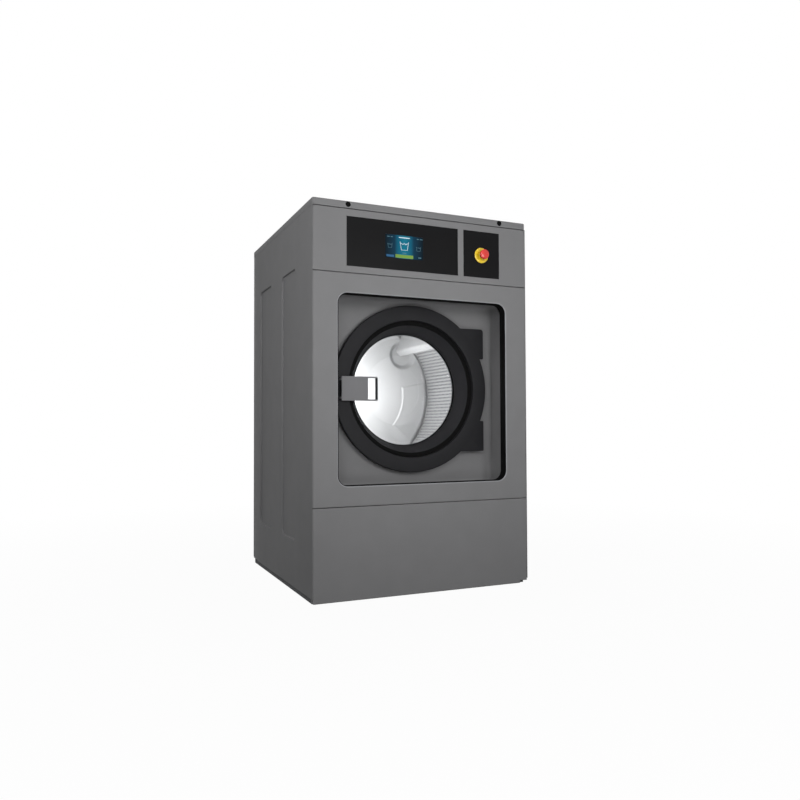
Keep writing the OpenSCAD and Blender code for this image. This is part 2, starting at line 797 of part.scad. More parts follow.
module hinge_brackets() {
    color("#6d7073") from_front() for (side = [1, -1]) {
        zc = door_z + side * hinge_dz;
        difference() {
            union() {
                rod_z(knuckle_r, [zc - leaf_half, zc + leaf_half], hinge_x, hinge_y);
                span([hinge_x - knuckle_r, hinge_x + 5], [hinge_y, recess_depth], [zc - leaf_half, zc + leaf_half]);
                // Foot plate screwed to the recess
                span([hinge_x - 32, hinge_x + 5], [recess_depth - 3, recess_depth], [zc - leaf_half, zc + leaf_half]);
            }
            rod_z(hinge_pin_r + running, [zc - 40, zc + 40], hinge_x, hinge_y);
        }
    }
}

module hinge_pins() {
    reach = leaf_half + knuckle_gap + knuckle_len;
    color("#c4c7ca") from_front() for (side = [1, -1]) {
        zc = door_z + side * hinge_dz;
        rod_z(hinge_pin_r, [zc - reach - 2, zc + reach + easy], hinge_x, hinge_y);
        rod_z(hinge_pin_r + 2, [zc + reach + easy, zc + reach + 3], hinge_x, hinge_y);
    }
}

module handle_plate() {
    x0 = -handle_left;
    x1 = x0 + handle_len;
    strip = 5.5;
    half = handle_h / 2;
    color("#77787b") from_front() {
        difference() {
            thick_y([handle_y, handle_y + handle_t]) round_rect([x0, x1], [handle_z - half, handle_z + half], 2);
            span([x1 - window_w - 2, x1 - 2], [handle_y - 1, handle_y + handle_t + 1],
                 [handle_z - half + strip, handle_z + half - strip]);
        }
        // Finger edge, bent back
        span([x1 - 2, x1], [handle_y + handle_t, handle_y + 20], [handle_z - half + 2, handle_z + half - 2]);
    }
}

module handle_lever() {
    color("#2a2b2c") from_front() difference() {
        union() {
            rod_z(barrel_r, [handle_z - ear_in + knuckle_gap, handle_z + ear_in - knuckle_gap], pivot_x, pivot_y);
            // Web to the handle plate
            span([pivot_x - 5, pivot_x + 7], [handle_y + handle_t, pivot_y], [handle_z - 28, handle_z + 28]);
            // Tongue that reaches through the door into the lock
            span([tongue_x0, tongue_x1], [pivot_y, tongue_end], [handle_z - tongue_half, handle_z + tongue_half]);
        }
        rod_z(pivot_r + running, [handle_z - 40, handle_z + 40], pivot_x, pivot_y);
        // Hole for the lock bolt
        rod_x(bolt_r + 2, [tongue_x0 - 1, tongue_x1 + 1], bolt_y, handle_z);
    }
}

module handle_pin() {
    color("#c4c7ca") from_front() {
        rod_z(pivot_r, [handle_z - ear_out - 1, handle_z + ear_out + easy], pivot_x, pivot_y);
        rod_z(pivot_r + 1.5, [handle_z + ear_out + easy, handle_z + ear_out + 2], pivot_x, pivot_y);
    }
}

module lock_housing() {
    wall = 2;
    half = 32;
    y0 = recess_depth + 2;
    guide_x = tongue_x0 - 8;
    color("#33363a") from_front() difference() {
        span([lock_left, lock_right], [y0, lock_back], [handle_z - half, handle_z + half]);
        // Room for the tongue
        span([guide_x, lock_right - wall], [y0 - 1, lock_back - wall], [handle_z - 16, handle_z + 16]);
        // Room for the solenoid end of the bolt, and the bolt's guide
        span([lock_left + wall, guide_x - 10], [y0 + wall, lock_back - wall], [handle_z - 20, handle_z + 20]);
        rod_x(bolt_r + running, [guide_x - 11, guide_x + 1], bolt_y, handle_z);
    }
}

module lock_bolt() {
    tip = tongue_x0 - 1;
    color("#c9ccd0") from_front() {
        rod_x(bolt_r, [tip - 22, tip], bolt_y, handle_z);
        rod_x(bolt_r + 3, [tip - 28, tip - 25], bolt_y, handle_z);
        rod_x(bolt_r - 1, [tip - 25, tip - 22], bolt_y, handle_z);
    }
}

module door_seal() {
    face = plate_back + easy;
    outer = seal_r_in + 14;
    color("#2d2d2e") from_front() turned(0, door_z) difference() {
        translate([seal_r_in, face]) square([outer - seal_r_in, 18]);
        translate([collar_r - easy, recess_depth]) square([collar_t + 2 * easy, 20]);
    }
}

// Tub and drum

module tub() {
    color("#a9adb0") from_front() difference() {
        union() {
            rod_y(tub_r + tub_t, [tub_y + 3, tub_end], 0, door_z);
            // Sump under the drum
            span([-sump_half, sump_half], [sump_y0, sump_y1], [sump_z, door_z - tub_r + 40]);
            rod_z(drain_r, [sump_z - 30, sump_z + 1], drain_x, drain_y);
            // Spout for the soap box, and the vent pipe
            rod_z(spout_r, [door_z + 200, door_z + tub_r + 12], spout_x, spout_y);
            rod_z(vent_r, [door_z + 200, vent_z], vent_x, vent_y);
            translate([vent_x, vent_y, vent_z]) sphere(vent_r);
            rod_y(vent_r, [vent_y, body_d + rear_reach], vent_x, vent_z);
            rod_y(vent_r + 4, [rear_y - 12, rear_y - 4], vent_x, vent_z);
            // Boss at the rear for the shaft seal
            rod_y(housing_r, [tub_end, tub_end + 10], 0, door_z);
        }
        rod_y(tub_r, [tub_y, tub_end - tub_t], 0, door_z);
        span([-sump_half + tub_t, sump_half - tub_t], [sump_y0 + tub_t, sump_y1 - tub_t],
             [sump_z + tub_t, door_z]);
        rod_z(drain_bore, [sump_z - 31, sump_z + tub_t + 1], drain_x, drain_y);
        rod_z(spout_r - 3, [door_z + 200, door_z + tub_r + 13], spout_x, spout_y);
        rod_z(vent_r - 3, [door_z + 200, vent_z], vent_x, vent_y);
        translate([vent_x, vent_y, vent_z]) sphere(vent_r - 3);
        rod_y(vent_r - 3, [vent_y, body_d + rear_reach + 1], vent_x, vent_z);
        rod_y(shaft_r + 8, [tub_end - tub_t - 1, tub_end + 11], 0, door_z);
    }
}

module tub_front() {
    color("#b2b6b9") from_front() turned(0, door_z) {
        translate([collar_r, tub_y]) square([tub_r + tub_t + 3 - collar_r, 3]);
        translate([collar_r, recess_depth + easy]) square([collar_t, tub_y - recess_depth]);
    }
}

module tub_clamp_band() {
    inner = tub_r + tub_t + easy;
    color("#c3c6c9") from_front() turned(0, door_z) difference() {
        translate([inner - 4, tub_y - 3]) square([11, 14]);
        translate([inner - 5, tub_y - easy]) square([8 + easy, 3 + 2 * easy]);
        translate([inner - 5, tub_y + 3]) square([5, 9]);
    }
}

module tub_saddles() {
    half = 255;
    color("#54575a") from_front() for (y = [saddle_y1, saddle_y2]) difference() {
        span([-half, half], [y, y + saddle_t], [base_h, door_z - 150]);
        rod_y(tub_r + tub_t + easy, [y - 1, y + saddle_t + 1], 0, door_z);
        span([-sump_half - 2, sump_half + 2], [y - 1, y + saddle_t + 1], [sump_z - 2, door_z]);
        // Lightening windows
        for (x = [-200, 80]) span([x, x + 120], [y - 1, y + saddle_t + 1], [base_h + 60, base_h + 180]);
    }
}

module heating_elements() {
    rod = 5;
    color("#8f8a84") from_front() for (x = [-60, 0, 60]) {
        zc = sump_z + 22;
        for (dx = [-12, 12]) rod_y(rod, [sump_y0 + 40, sump_y1 - tub_t], x + dx, zc);
        // Front bend
        translate([x, sump_y0 + 40, zc]) rotate([180, 0, 0]) rotate_extrude(angle = 180)
            translate([12, 0]) circle(rod);
    }
}

module drum_shell() {
    color("#c6c9cc") from_front() ring_y(drum_r, drum_r + drum_t, [drum_y + 2, drum_end]);
}

module drum_front() {
    color("#cfd2d5") from_front() {
        ring_y(mouth_r, drum_r + drum_t, [drum_y, drum_y + 2]);
        turned(0, door_z) translate([mouth_r, drum_y + 3]) circle(3);
    }
}

// The drum's back, with a pressed sector between each two lifters
module drum_back() {
    half_angle = sector_angle / 2;
    reach = drum_r * 2;
    color("#c2c5c8") from_front() difference() {
        union() {
            ring_y(0, drum_r + drum_t, [drum_end, drum_end + 3]);
            for (i = [0 : lifters - 1]) intersection() {
                ring_y(sector_r, drum_r - easy, [drum_end - 3, drum_end + 1]);
                translate([0, 0, door_z]) rotate([0, -lifter_angle - (i + 0.5) * 360 / lifters, 0])
                    thick_y([drum_end - 4, drum_end + 2]) polygon([
                        [0, 0], [reach * cos(half_angle), -reach * sin(half_angle)],
                        [reach, 0], [reach * cos(half_angle), reach * sin(half_angle)]]);
            }
            // Spider arms behind the back
            for (i = [0 : 2]) translate([0, 0, door_z]) rotate([0, i * 120 + 30, 0])
                span([0, drum_r - 5], [drum_end + 2, drum_end + 18], [-22, 22]);
            rod_y(64, [drum_end + 2, drum_end + 22], 0, door_z);
        }
        rod_y(shaft_r + easy, [drum_end + 3, drum_end + 30], 0, door_z);
    }
}

// A lifter's section, smaller by an inset; it points along +X with its foot on the drum
module lifter_section(inset) {
    crest_r = 16 - inset;
    foot = drum_r - 6;
    half = lifter_w / 2 - inset;
    crest_x = drum_r - lifter_h + 16;
    polygon([[foot + 10, -half], [foot - 8, -half], [crest_x - 6, -crest_r + 1], [crest_x - 6, crest_r - 1],
             [foot - 8, half], [foot + 10, half]]);
    translate([crest_x, 0]) circle(crest_r);
}

module drum_lifters() {
    wall = 2.5;
    ends = [drum_y + 12, drum_end - 6];
    color("#c9ccd0") from_front() for (i = [0 : lifters - 1])
        translate([0, 0, door_z]) rotate([0, -lifter_angle - i * 360 / lifters, 0])
            intersection() {
                difference() {
                    thick_y(ends) lifter_section(0);
                    thick_y([ends[0] + wall, ends[1] - wall]) lifter_section(wall);
                }
                rod_y(drum_r - easy, [drum_y, drum_end], 0, 0);
            }
}

module drum_shaft() {
    step_r = shaft_r - 6;
    color("#9b9fa3") from_front() {
        rod_y(shaft_r, [drum_end + 3 + easy, pulley_y - 6], 0, door_z);
        rod_y(step_r, [pulley_y - 6, pulley_y + pulley_w + 2], 0, door_z);
        rod_y(step_r - 8, [pulley_y + pulley_w + 2, pulley_y + pulley_w + 10], 0, door_z);
    }
}

module bearing_housing() {
    arms = 6;
    back = tub_end + 10;
    color("#5b5f63") from_front() difference() {
        union() {
            rod_y(housing_r, [back, housing_end], 0, door_z);
            // Ribs to the tub's back
            for (i = [0 : arms - 1]) translate([0, 0, door_z]) rotate([0, i * 60, 0])
                span([housing_r - 5, 300], [tub_end + easy, tub_end + 45], [-8, 8]);
        }
        rod_y(bearing_r + running, [back - 1, housing_end + 1], 0, door_z);
        // Room for the tub's boss
        rod_y(housing_r + easy, [tub_end - 1, back], 0, door_z);
    }
}

module bearing_outer_rings() {
    color("#d3d6d9") from_front() {
        for (y = [bearing_y1, bearing_y2]) ring_y(ball_ring_r + 5, bearing_r, [y, y + bearing_w]);
        // Shaft seal in front of the bearings
        ring_y(shaft_r + easy, bearing_r, [tub_end + 10, bearing_y1 - 1]);
        // Spacer between the outer rings
        ring_y(bearing_r - 4, bearing_r, [bearing_y1 + bearing_w, bearing_y2]);
    }
}

module bearing_inner_rings() {
    color("#dfe1e4") from_front() for (y = [bearing_y1, bearing_y2]) {
        ring_y(shaft_r + running, ball_ring_r - 5, [y, y + bearing_w]);
        for (i = [0 : balls - 1])
            translate([ball_ring_r * cos(i * 360 / balls), y + bearing_w / 2, door_z + ball_ring_r * sin(i * 360 / balls)])
                sphere(ball_r, $fn = 32);
    }
}

// Drive

module drum_pulley() {
    web = 8;
    rim = 14;
    mid = pulley_y + pulley_w / 2;
    color("#73777b") from_front() difference() {
        union() {
            ring_y(pulley_r - rim, pulley_r, [pulley_y, pulley_y + pulley_w]);
            ring_y(shaft_r - 6 + running, hub_r, [pulley_y - 4, pulley_y + pulley_w]);
            ring_y(hub_r, pulley_r - rim, [mid - web / 2, mid + web / 2]);
        }
        // Round windows in the web
        for (i = [0 : 5])
            rod_y(34, [mid - web, mid + web], 105 * cos(i * 60), door_z + 105 * sin(i * 60));
    }
}

// The space inside a loop round both pulleys, a gap outside their rims
module belt_core(gap, y) {
    dx = motor_x;
    dz = motor_z - door_z;
    reach = sqrt(dx * dx + dz * dz);
    heading = atan2(dz, dx);
    r1 = pulley_r + gap;
    r2 = motor_pulley_r + gap;
    lean = acos((r1 - r2) / reach);
    a = heading + lean;
    b = heading - lean;
    // The straight runs lie a hair inside the tangents, so that they cut the circles
    s1 = r1 - 0.05;
    s2 = r2 - 0.05;
    rod_y(r1, y, 0, door_z, $fn = 360);
    rod_y(r2, y, motor_x, motor_z);
    thick_y(y) translate([0, door_z])
        polygon([[s1 * cos(a), s1 * sin(a)], [dx + s2 * cos(a), dz + s2 * sin(a)],
                 [dx + s2 * cos(b), dz + s2 * sin(b)], [s1 * cos(b), s1 * sin(b)]]);
}

module drive_belt() {
    y = [pulley_y + 2, pulley_y + pulley_w - 2];
    color("#222222") from_front() difference() {
        belt_core(easy + belt_t, y);
        belt_core(easy, [y[0] - 1, y[1] + 1]);
    }
}

module motor_body() {
    wall = 10;
    fins = 16;
    color("#3f5063") from_front() difference() {
        union() {
            rod_y(motor_r - 6, [motor_y, motor_end], motor_x, motor_z);
            rod_y(motor_r, [motor_y, motor_y + 24], motor_x, motor_z);
            rod_y(motor_r, [motor_end - 24, motor_end], motor_x, motor_z);
            for (i = [0 : fins - 1]) translate([motor_x, 0, motor_z]) rotate([0, i * 360 / fins, 0])
                span([motor_r - 8, motor_r], [motor_y + 24, motor_end - 24], [-2, 2]);
            // Feet and the plate on the base
            for (y = [motor_y + 20, motor_end - 50]) {
                span([motor_x - 70, motor_x + 70], [y, y + 30], [mount_z + 8, motor_z - motor_r + 14]);
                span([motor_x - 80, motor_x + 80], [y, y + 30], [base_h, mount_z + 8]);
            }
        }
        rod_y(motor_r - 6 - wall, [motor_y + wall, motor_end - wall], motor_x, motor_z);
        rod_y(motor_shaft_r + running, [motor_y + wall - 4, motor_end + 1], motor_x, motor_z);
        for (y = [motor_y + 20, motor_end - 50])
            span([motor_x - 60, motor_x + 60], [y - 1, y + 31], [base_h + 6, mount_z - 4]);
    }
}

module motor_rotor() {
    color("#8b8f93") from_front() {
        rod_y(motor_shaft_r, [motor_y + 7, pulley_y + pulley_w + 2], motor_x, motor_z);
        rod_y(motor_r - 30, [motor_y + 30, motor_end - 30], motor_x, motor_z);
    }
}

module motor_pulley() {
    color("#6c7074") from_front() turned(motor_x, motor_z) {
        translate([motor_shaft_r + running, pulley_y]) square([motor_pulley_r - motor_shaft_r - running, pulley_w]);
        translate([motor_shaft_r + running, pulley_y - 14]) square([10, 14]);
    }
}

module motor_inverter() {
    box_x = [-inner_x + 16, -inner_x + 156];
    box_y = [saddle_y1 + 40, saddle_y1 + 240];
    box_z = [base_h, base_h + 190];
    color("#b9bcbf") from_front() {
        difference() {
            span(box_x, box_y, box_z);
            span([box_x[0] + 2, box_x[1] - 2], [box_y[0] + 2, box_y[1] - 2], [box_z[0] + 2, box_z[1] - 2]);
        }
        // Cooling fins
        for (i = [0 : 9])
            span([box_x[1], box_x[1] + 18], [box_y[0] + 10 + i * 19, box_y[0] + 14 + i * 19], [box_z[0] + 10, box_z[1] - 10]);
    }
}

// Water and soap

module soap_box() {
    wall = 2;
    left = -soap_left;
    top = rail_top - 2;
    cells = 4;
    cell = (soap_w - wall) / cells;
    color("#d9dadb") from_front() difference() {
        union() {
            difference() {
                span([left, soap_right], [soap_y, soap_rear], [soap_bottom, top]);
                span([left + wall, soap_right - wall], [soap_y + wall, soap_rear - wall], [soap_bottom + wall, top + 1]);
            }
            for (i = [1 : cells - 1])
                span([left + i * cell, left + i * cell + wall], [soap_y + wall, soap_axis_y - 16],
                     [soap_bottom + wall, body_h - soap_lid_t - easy]);
            // Flange under the lid
            difference() {
                span([left - 14, soap_right + 14], [soap_y - 14, soap_rear + 14], [top - 1, rail_top]);
                span([left + wall, soap_right - wall], [soap_y + wall, soap_rear], [top - 2, rail_top + 1]);
            }
            // Ears for the flap's pin
            for (x = [left + 4, soap_right - 16]) {
                rod_x(soap_barrel_r, [x, x + 12], soap_axis_y, soap_axis_z);
                span([x, x + 12], [soap_axis_y - soap_barrel_r, soap_rear - wall], [soap_axis_z - 16, soap_axis_z]);
            }
            // Hose to the tub's spout
            rod_z(spout_r, [door_z + tub_r + 12, soap_bottom], spout_x, spout_y);
        }
        rod_x(soap_pin_r + running, [left + 3, soap_right - 3], soap_axis_y, soap_axis_z);
        rod_z(spout_r - 3, [door_z + tub_r + 11, soap_bottom + wall + 1], spout_x, spout_y);
        for (i = [0 : inlets - 1])
            rod_y(6, [soap_rear - wall - 1, soap_rear + 1], inlet_x0 + i * inlet_pitch, inlet_z);
    }
}

module soap_lid() {
    x0 = -soap_left + 3;
    x1 = soap_right - 3;
    ear = 14;
    color("#8a8b8d") from_front() {
        difference() {
            union() {
                span([x0, x1], [soap_y + 3, soap_axis_y - soap_barrel_r - 3], [body_h - soap_lid_t, body_h]);
                span([x0 + ear, x1 - ear], [soap_axis_y - soap_barrel_r - 3, soap_axis_y], [body_h - soap_lid_t, body_h]);
                rod_x(soap_barrel_r, [x0 + ear, x1 - ear], soap_axis_y, soap_axis_z);
            }
            // Finger notch at the front edge
            rod_z(14, [body_h - soap_lid_t - 1, body_h + 1], (x0 + x1) / 2, soap_y + 3);
        }
        // Pin, pressed into the flap
        rod_x(soap_pin_r, [x0 + 4, x1 - 4], soap_axis_y, soap_axis_z);
    }
}

module inlet_valves() {
    thread_y = rear_reach - 18;
    color("#d5d7d9") from_front() for (i = [0 : inlets - 1]) {
        x = inlet_x0 + i * inlet_pitch;
        difference() {
            union() {
                span([x - 20, x + 20], [inlet_valve_y, rear_y], [inlet_z - 22, inlet_z + 22]);
                rod_y(inlet_r, [rear_y, body_d + thread_y], x, inlet_z);
                // Hose to the soap box
                rod_y(9, [soap_rear, inlet_valve_y], x, inlet_z);
            }
            rod_y(9, [inlet_valve_y + 20, body_d + thread_y + 1], x, inlet_z);
            rod_y(6, [soap_rear - 1, inlet_valve_y + 21], x, inlet_z);
        }
    }
}

module drain_valve() {
    color("#4b4e52") from_front() {
        difference() {
            union() {
                // Down from the sump, then to the rear
                rod_z(drain_r, [drain_z, sump_z - 30], drain_x, drain_y);
                translate([drain_x, drain_y, drain_z]) sphere(drain_r);
                rod_y(drain_r, [drain_y, body_d + rear_reach], drain_x, drain_z);
                rod_y(drain_r + 8, [valve_y, valve_y + valve_len], drain_x, drain_z);
                // Flap actuator on a neck
                rod_z(12, [drain_z + drain_r, drain_z + drain_r + 20], drain_x, valve_y + valve_len / 2);
                span([drain_x - 28, drain_x + 28], [valve_y - 4, valve_y + valve_len + 4],
                     [drain_z + drain_r + 20, drain_z + drain_r + 80]);
            }
            rod_z(drain_bore, [drain_z, sump_z - 29], drain_x, drain_y);
            translate([drain_x, drain_y, drain_z]) sphere(drain_bore);
            rod_y(drain_bore, [drain_y, body_d + rear_reach + 1], drain_x, drain_z);
            rod_z(4 + running, [drain_z - drain_r - 5, drain_z + drain_r + 50], drain_x, valve_y + valve_len / 2);
        }
    }
}

module drain_flap() {
    color("#9a9ea2") from_front() {
        rod_z(4, [drain_z - drain_r - 4, drain_z + drain_r + 48], drain_x, valve_y + valve_len / 2);
        rod_x(drain_bore - 0.5, [drain_x - 2, drain_x + 2], valve_y + valve_len / 2, drain_z);
    }
}

module terminal_box() {
    box_x = [gland_x - 75, gland_x + 75];
    box_z = [gland_z - 100, gland_z + 140];
    color("#8f9396") from_front() {
        difference() {
            span(box_x, [rear_y - 110, rear_y], box_z);
            span([box_x[0] + 2, box_x[1] - 2], [rear_y - 108, rear_y - 2], [box_z[0] + 2, box_z[1] - 2]);
            rod_y(gland_bore_r, [rear_y - 3, rear_y + 1], gland_x, gland_z);
        }
        // Cable gland
        difference() {
            union() {
                rod_y(13.5, [rear_y, body_d + 2], gland_x, gland_z);
                rod_y(19, [body_d + easy, body_d + 9], gland_x, gland_z);
                rod_y(16, [body_d + 9, body_d + 28], gland_x, gland_z);
            }
            rod_y(gland_bore_r, [rear_y - 1, body_d + 29], gland_x, gland_z);
        }
    }
}

base_frame();
cabinet_frame();
side_panel_left();
side_panel_right();
top_lid();
lid_plugs();
front_panel();
opening_trim();
door_recess_pan();
control_fascia();
kick_panel();
control_panel();
display();
controller_box();
stop_panel();
stop_disc();
stop_contact_block();
stop_plunger();
stop_cap();
rear_panel();
rear_access_cover();
case_screws();
door_cover();
door_frame();
door_glass();
glass_gasket();
glass_clamp();
hinge_brackets();
hinge_pins();
handle_plate();
handle_lever();
handle_pin();
lock_housing();
lock_bolt();
door_seal();
tub();
tub_front();
tub_clamp_band();
tub_saddles();
heating_elements();
drum_shell();
drum_front();
drum_back();
drum_lifters();
drum_shaft();
bearing_housing();
bearing_outer_rings();
bearing_inner_rings();
drum_pulley();
drive_belt();
motor_body();
motor_rotor();
motor_pulley();
motor_inverter();
soap_box();
soap_lid();
inlet_valves();
drain_valve();
drain_flap();
terminal_box();
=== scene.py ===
"""The looks of a front-loading industrial washing machine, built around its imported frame."""
import math

import bmesh
import bpy
import numpy as np
from bpy.props import FloatProperty, FloatVectorProperty, IntProperty, PointerProperty
from mathutils import Matrix, Vector


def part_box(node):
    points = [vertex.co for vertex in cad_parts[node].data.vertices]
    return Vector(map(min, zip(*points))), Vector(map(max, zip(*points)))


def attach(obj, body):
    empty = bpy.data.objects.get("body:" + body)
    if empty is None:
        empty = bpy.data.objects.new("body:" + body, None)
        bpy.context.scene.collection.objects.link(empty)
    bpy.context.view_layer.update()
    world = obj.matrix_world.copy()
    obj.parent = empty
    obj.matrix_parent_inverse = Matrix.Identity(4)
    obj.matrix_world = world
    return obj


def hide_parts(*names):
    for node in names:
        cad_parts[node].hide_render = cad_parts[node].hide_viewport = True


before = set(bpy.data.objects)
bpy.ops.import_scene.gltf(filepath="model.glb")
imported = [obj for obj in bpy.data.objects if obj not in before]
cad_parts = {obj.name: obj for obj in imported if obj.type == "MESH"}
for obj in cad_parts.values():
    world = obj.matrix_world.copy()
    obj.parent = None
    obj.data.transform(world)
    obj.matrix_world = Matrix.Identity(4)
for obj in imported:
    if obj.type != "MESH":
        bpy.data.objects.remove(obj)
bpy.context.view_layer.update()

bl_info = {
    "name": "Industrial washing machine",
    "version": (1, 0, 0),
    "blender": (4, 5, 0),
    "location": "View3D > Sidebar > Washer",
    "description": "Sheet-steel cabinet, glass door, perforated drum and controls around a fixed frame",
    "category": "Add Mesh",
}

MM = 0.001


def node_box(name):
    """Lowest and highest corner of a frame node, as arrays."""
    low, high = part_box(name)
    return np.array(low), np.array(high)


FRONT_Y = node_box("front_panel")[0][1]
SIDE_X = node_box("side_panel_right")[1][0]
DOOR_Z = float(sum(corner[2] for corner in node_box("drum_shell")) / 2)
# Thickness of the sheet steel, and the width of the narrow strip that keeps a face flat beside a bend
SHEET = 2 * MM
SUPPORT = 1.2 * MM
OPENING_RADIUS = 38 * MM
# The drum's three lifters: the angle of the first, and the turn from one to the next
LIFTER_ANGLE = 45
THIRD = 120


def linear(hex_colour):
    """An sRGB hex colour as linear red, green and blue."""
    values = np.array([int(hex_colour[i:i + 2], 16) for i in (1, 3, 5)]) / 255
    return tuple(np.where(values <= 0.04045, values / 12.92, ((values + 0.055) / 1.055) ** 2.4))


def colour_property(name, description, default):
    """A colour that the user can change, given as sRGB hex."""
    return FloatVectorProperty(
        name=name, description=description, default=linear(default), subtype="COLOR", size=3, min=0, max=1)


def length_property(name, description, default):
    """A length that the user can change; its default is given in mm."""
    return FloatProperty(name=name, description=description, default=default * MM, unit="LENGTH", min=0)


def power_property(name, description, default):
    """A lamp's power that the user can change, in W."""
    return FloatProperty(name=name, description=f"Power of the {description}, in W", default=default, min=0)


class CabinetSettings(bpy.types.PropertyGroup):
    """Sizes and colours of the cabinet"""
    paint: colour_property("Paint", "Powder coat of the cabinet", "#7e7e7f")
    # The recess paint is a shade darker than the cabinet's: painted shade inside the door recess
    recess_paint_shaded: colour_property("Recess paint", "Powder coat inside the door recess", "#7b7b7c")
    lid_bend: length_property("Lid bend", "Outer radius of the lid's folded edges", 4)
    field_inset: length_property("Field length", "Length of each pressed field in the sides", 203)
    field_depth: length_property("Field depth", "Depth of the pressed fields", 6.5)
    field_shoulder: length_property("Field shoulder", "Width of the sloping shoulder round a field", 3.6)
    field_radius: length_property("Field radius", "Corner radius of the pressed fields", 24)
    pan_bend: length_property("Recess bend", "Radius between the walls and the floor of the recess", 16)


class DoorSettings(bpy.types.PropertyGroup):
    """Sizes and colours of the door"""
    cover: colour_property("Cover", "Moulded cover of the door", "#222224")
    handle: colour_property("Handle", "Painted handle plate", "#7b7b7d")
    glass_tint: colour_property("Glass tint", "Tint of the door glass", "#fdfdfd")
    lug_edge: length_property("Lug edge", "Radius along the edges of the hinge lugs", 1.4)


class DrumSettings(bpy.types.PropertyGroup):
    """Sizes and colours of the drum"""
    steel: colour_property("Steel", "Stainless steel of the drum", "#b4b5b6")
    hole_rows: IntProperty(name="Hole rows", description="Rows of holes around the drum", default=148, min=24)
    hole_pitch: length_property("Hole pitch", "Distance between holes along a row", 13)
    hole_radius: length_property("Hole radius", "Radius of each hole", 4.8)


class ControlSettings(bpy.types.PropertyGroup):
    """Colours of the controls"""
    panel: colour_property("Panel", "Black control panels", "#141415")
    stop_disc: colour_property("Stop disc", "Disc behind the emergency stop", "#e3c32c")
    stop_button: colour_property("Stop button", "Mushroom of the emergency stop", "#d8352f")


class StudioSettings(bpy.types.PropertyGroup):
    """Light and camera"""
    focal: FloatProperty(name="Lens", description="Focal length of the camera, in mm", default=33.22, min=1)
    key_power: power_property("Key light", "key light", 22)
    wash_power: power_property("Wash light", "high left light", 24)
    rear_power: power_property("Rear light", "light behind", 45)
    low_power: power_property("Low light", "low light in front", 2.2)
    side_power: power_property("Side light", "left side's light", 13)
    drum_power: power_property("Drum light", "lamp inside the drum", 10.5)
    ambient: FloatProperty(name="Ambient", description="Level of light from all around", default=0.2, min=0)


class WasherSettings(bpy.types.PropertyGroup):
    """All the machine's values"""
    cabinet: PointerProperty(type=CabinetSettings)
    door: PointerProperty(type=DoorSettings)
    drum: PointerProperty(type=DrumSettings)
    controls: PointerProperty(type=ControlSettings)
    studio: PointerProperty(type=StudioSettings)


def settings(group):
    """The values of one property group."""
    return getattr(bpy.context.scene.washer, group)


class Step:
    """What every operator shares: it can be undone"""
    bl_options = {"REGISTER", "UNDO"}


# Shapes

def arc(start, end, steps):
    """Angles of an arc in degrees, turned to radians."""
    return np.radians(np.linspace(start, end, steps))


def smooth_step(t):
    """Three times the square less twice the cube of t, which is held between 0 and 1."""
    t = np.clip(t, 0, 1)
    return t * t * (3 - 2 * t)


def rounded(corners, radii, steps=5):
    """Closed outline whose corners are cut back along both sides and joined by a circular arc."""
    corners = np.asarray(corners, float)
    radii = np.broadcast_to(radii, len(corners))
    parts = []
    for point, before, after, radius in zip(corners, np.roll(corners, 1, 0), np.roll(corners, -1, 0), radii):
        a = (before - point) / np.linalg.norm(before - point)
        b = (after - point) / np.linalg.norm(after - point)
        half = 0.5 * math.acos(float(np.clip(a @ b, -1, 1)))
        # A corner with no radius, or one that is all but straight, stays as it is
        if radius <= 0 or half > 1.56:
            parts.append(point[None])
            continue
        cut = radius / math.tan(half)
        centre = point + (a + b) / np.linalg.norm(a + b) * radius / math.sin(half)
        first, last = point + a * cut - centre, point + b * cut - centre
        sweep = math.pi - 2 * half
        t = np.linspace(0, 1, steps + 1)[:, None]
        parts.append(centre + (np.sin((1 - t) * sweep) * first + np.sin(t * sweep) * last) / math.sin(sweep))
    return np.concatenate(parts)


def rounded_mm(corners, radii, steps=5):
    """The same outline from corners and radii in mm."""
    return rounded(np.array(corners, float) * MM, np.array(radii, float) * MM, steps)


def rect(low, high, inset=0.0, radius=0.0, steps=6):
    """A rectangle with round corners, smaller by an inset; its radius shrinks with it."""
    x0, z0, x1, z1 = low[0] + inset, low[1] + inset, high[0] - inset, high[1] - inset
    return rounded([(x0, z0), (x1, z0), (x1, z1), (x0, z1)], max(radius - inset, 0.3 * MM), steps)


def at_depth(outline, depth):
    """An outline in X and Z, set at a depth behind the front face."""
    return np.insert(outline, 1, FRONT_Y + depth, axis=1)


def carried(path, low, high, radius, steps=6, outline=rect):
    """A path of inset and depth, carried round a rectangle: one row of points for each point of the path."""
    return [at_depth(outline(low, high, inset, radius, steps), depth) for inset, depth in path]


def bend(radius, steps=5):
    """Inset and set-back of the points on a folded edge: a quarter circle from the face to the side."""
    t = arc(0, 90, steps)
    return np.column_stack([radius * (1 - np.sin(t)), radius * (1 - np.cos(t))])


def folded_edge(radius, flange):
    """The path of a sheet's edge: face, quarter circle, flange, and back along the inner side."""
    return [(radius + SUPPORT, 0), *bend(radius), (0, flange), (SHEET, flange), (SHEET, SHEET + SUPPORT),
            (SHEET + SUPPORT, SHEET)]


def around(radius, angle, depth, centre=(0, DOOR_Z)):
    """Points at a radius and an angle about an axis along Y, at a depth behind the front face."""
    x, z = centre[0] + radius * np.cos(angle), centre[1] + radius * np.sin(angle)
    return np.stack(np.broadcast_arrays(x, FRONT_Y + depth, z), -1)


def turned(profile, centre=(0, DOOR_Z), steps=180):
    """A profile of radius and depth, turned about an axis along Y: a ring of points for each point of it."""
    profile = np.asarray(profile, float)
    return around(profile[:, :1], arc(0, 360, steps + 1)[:-1], profile[:, 1:], centre)


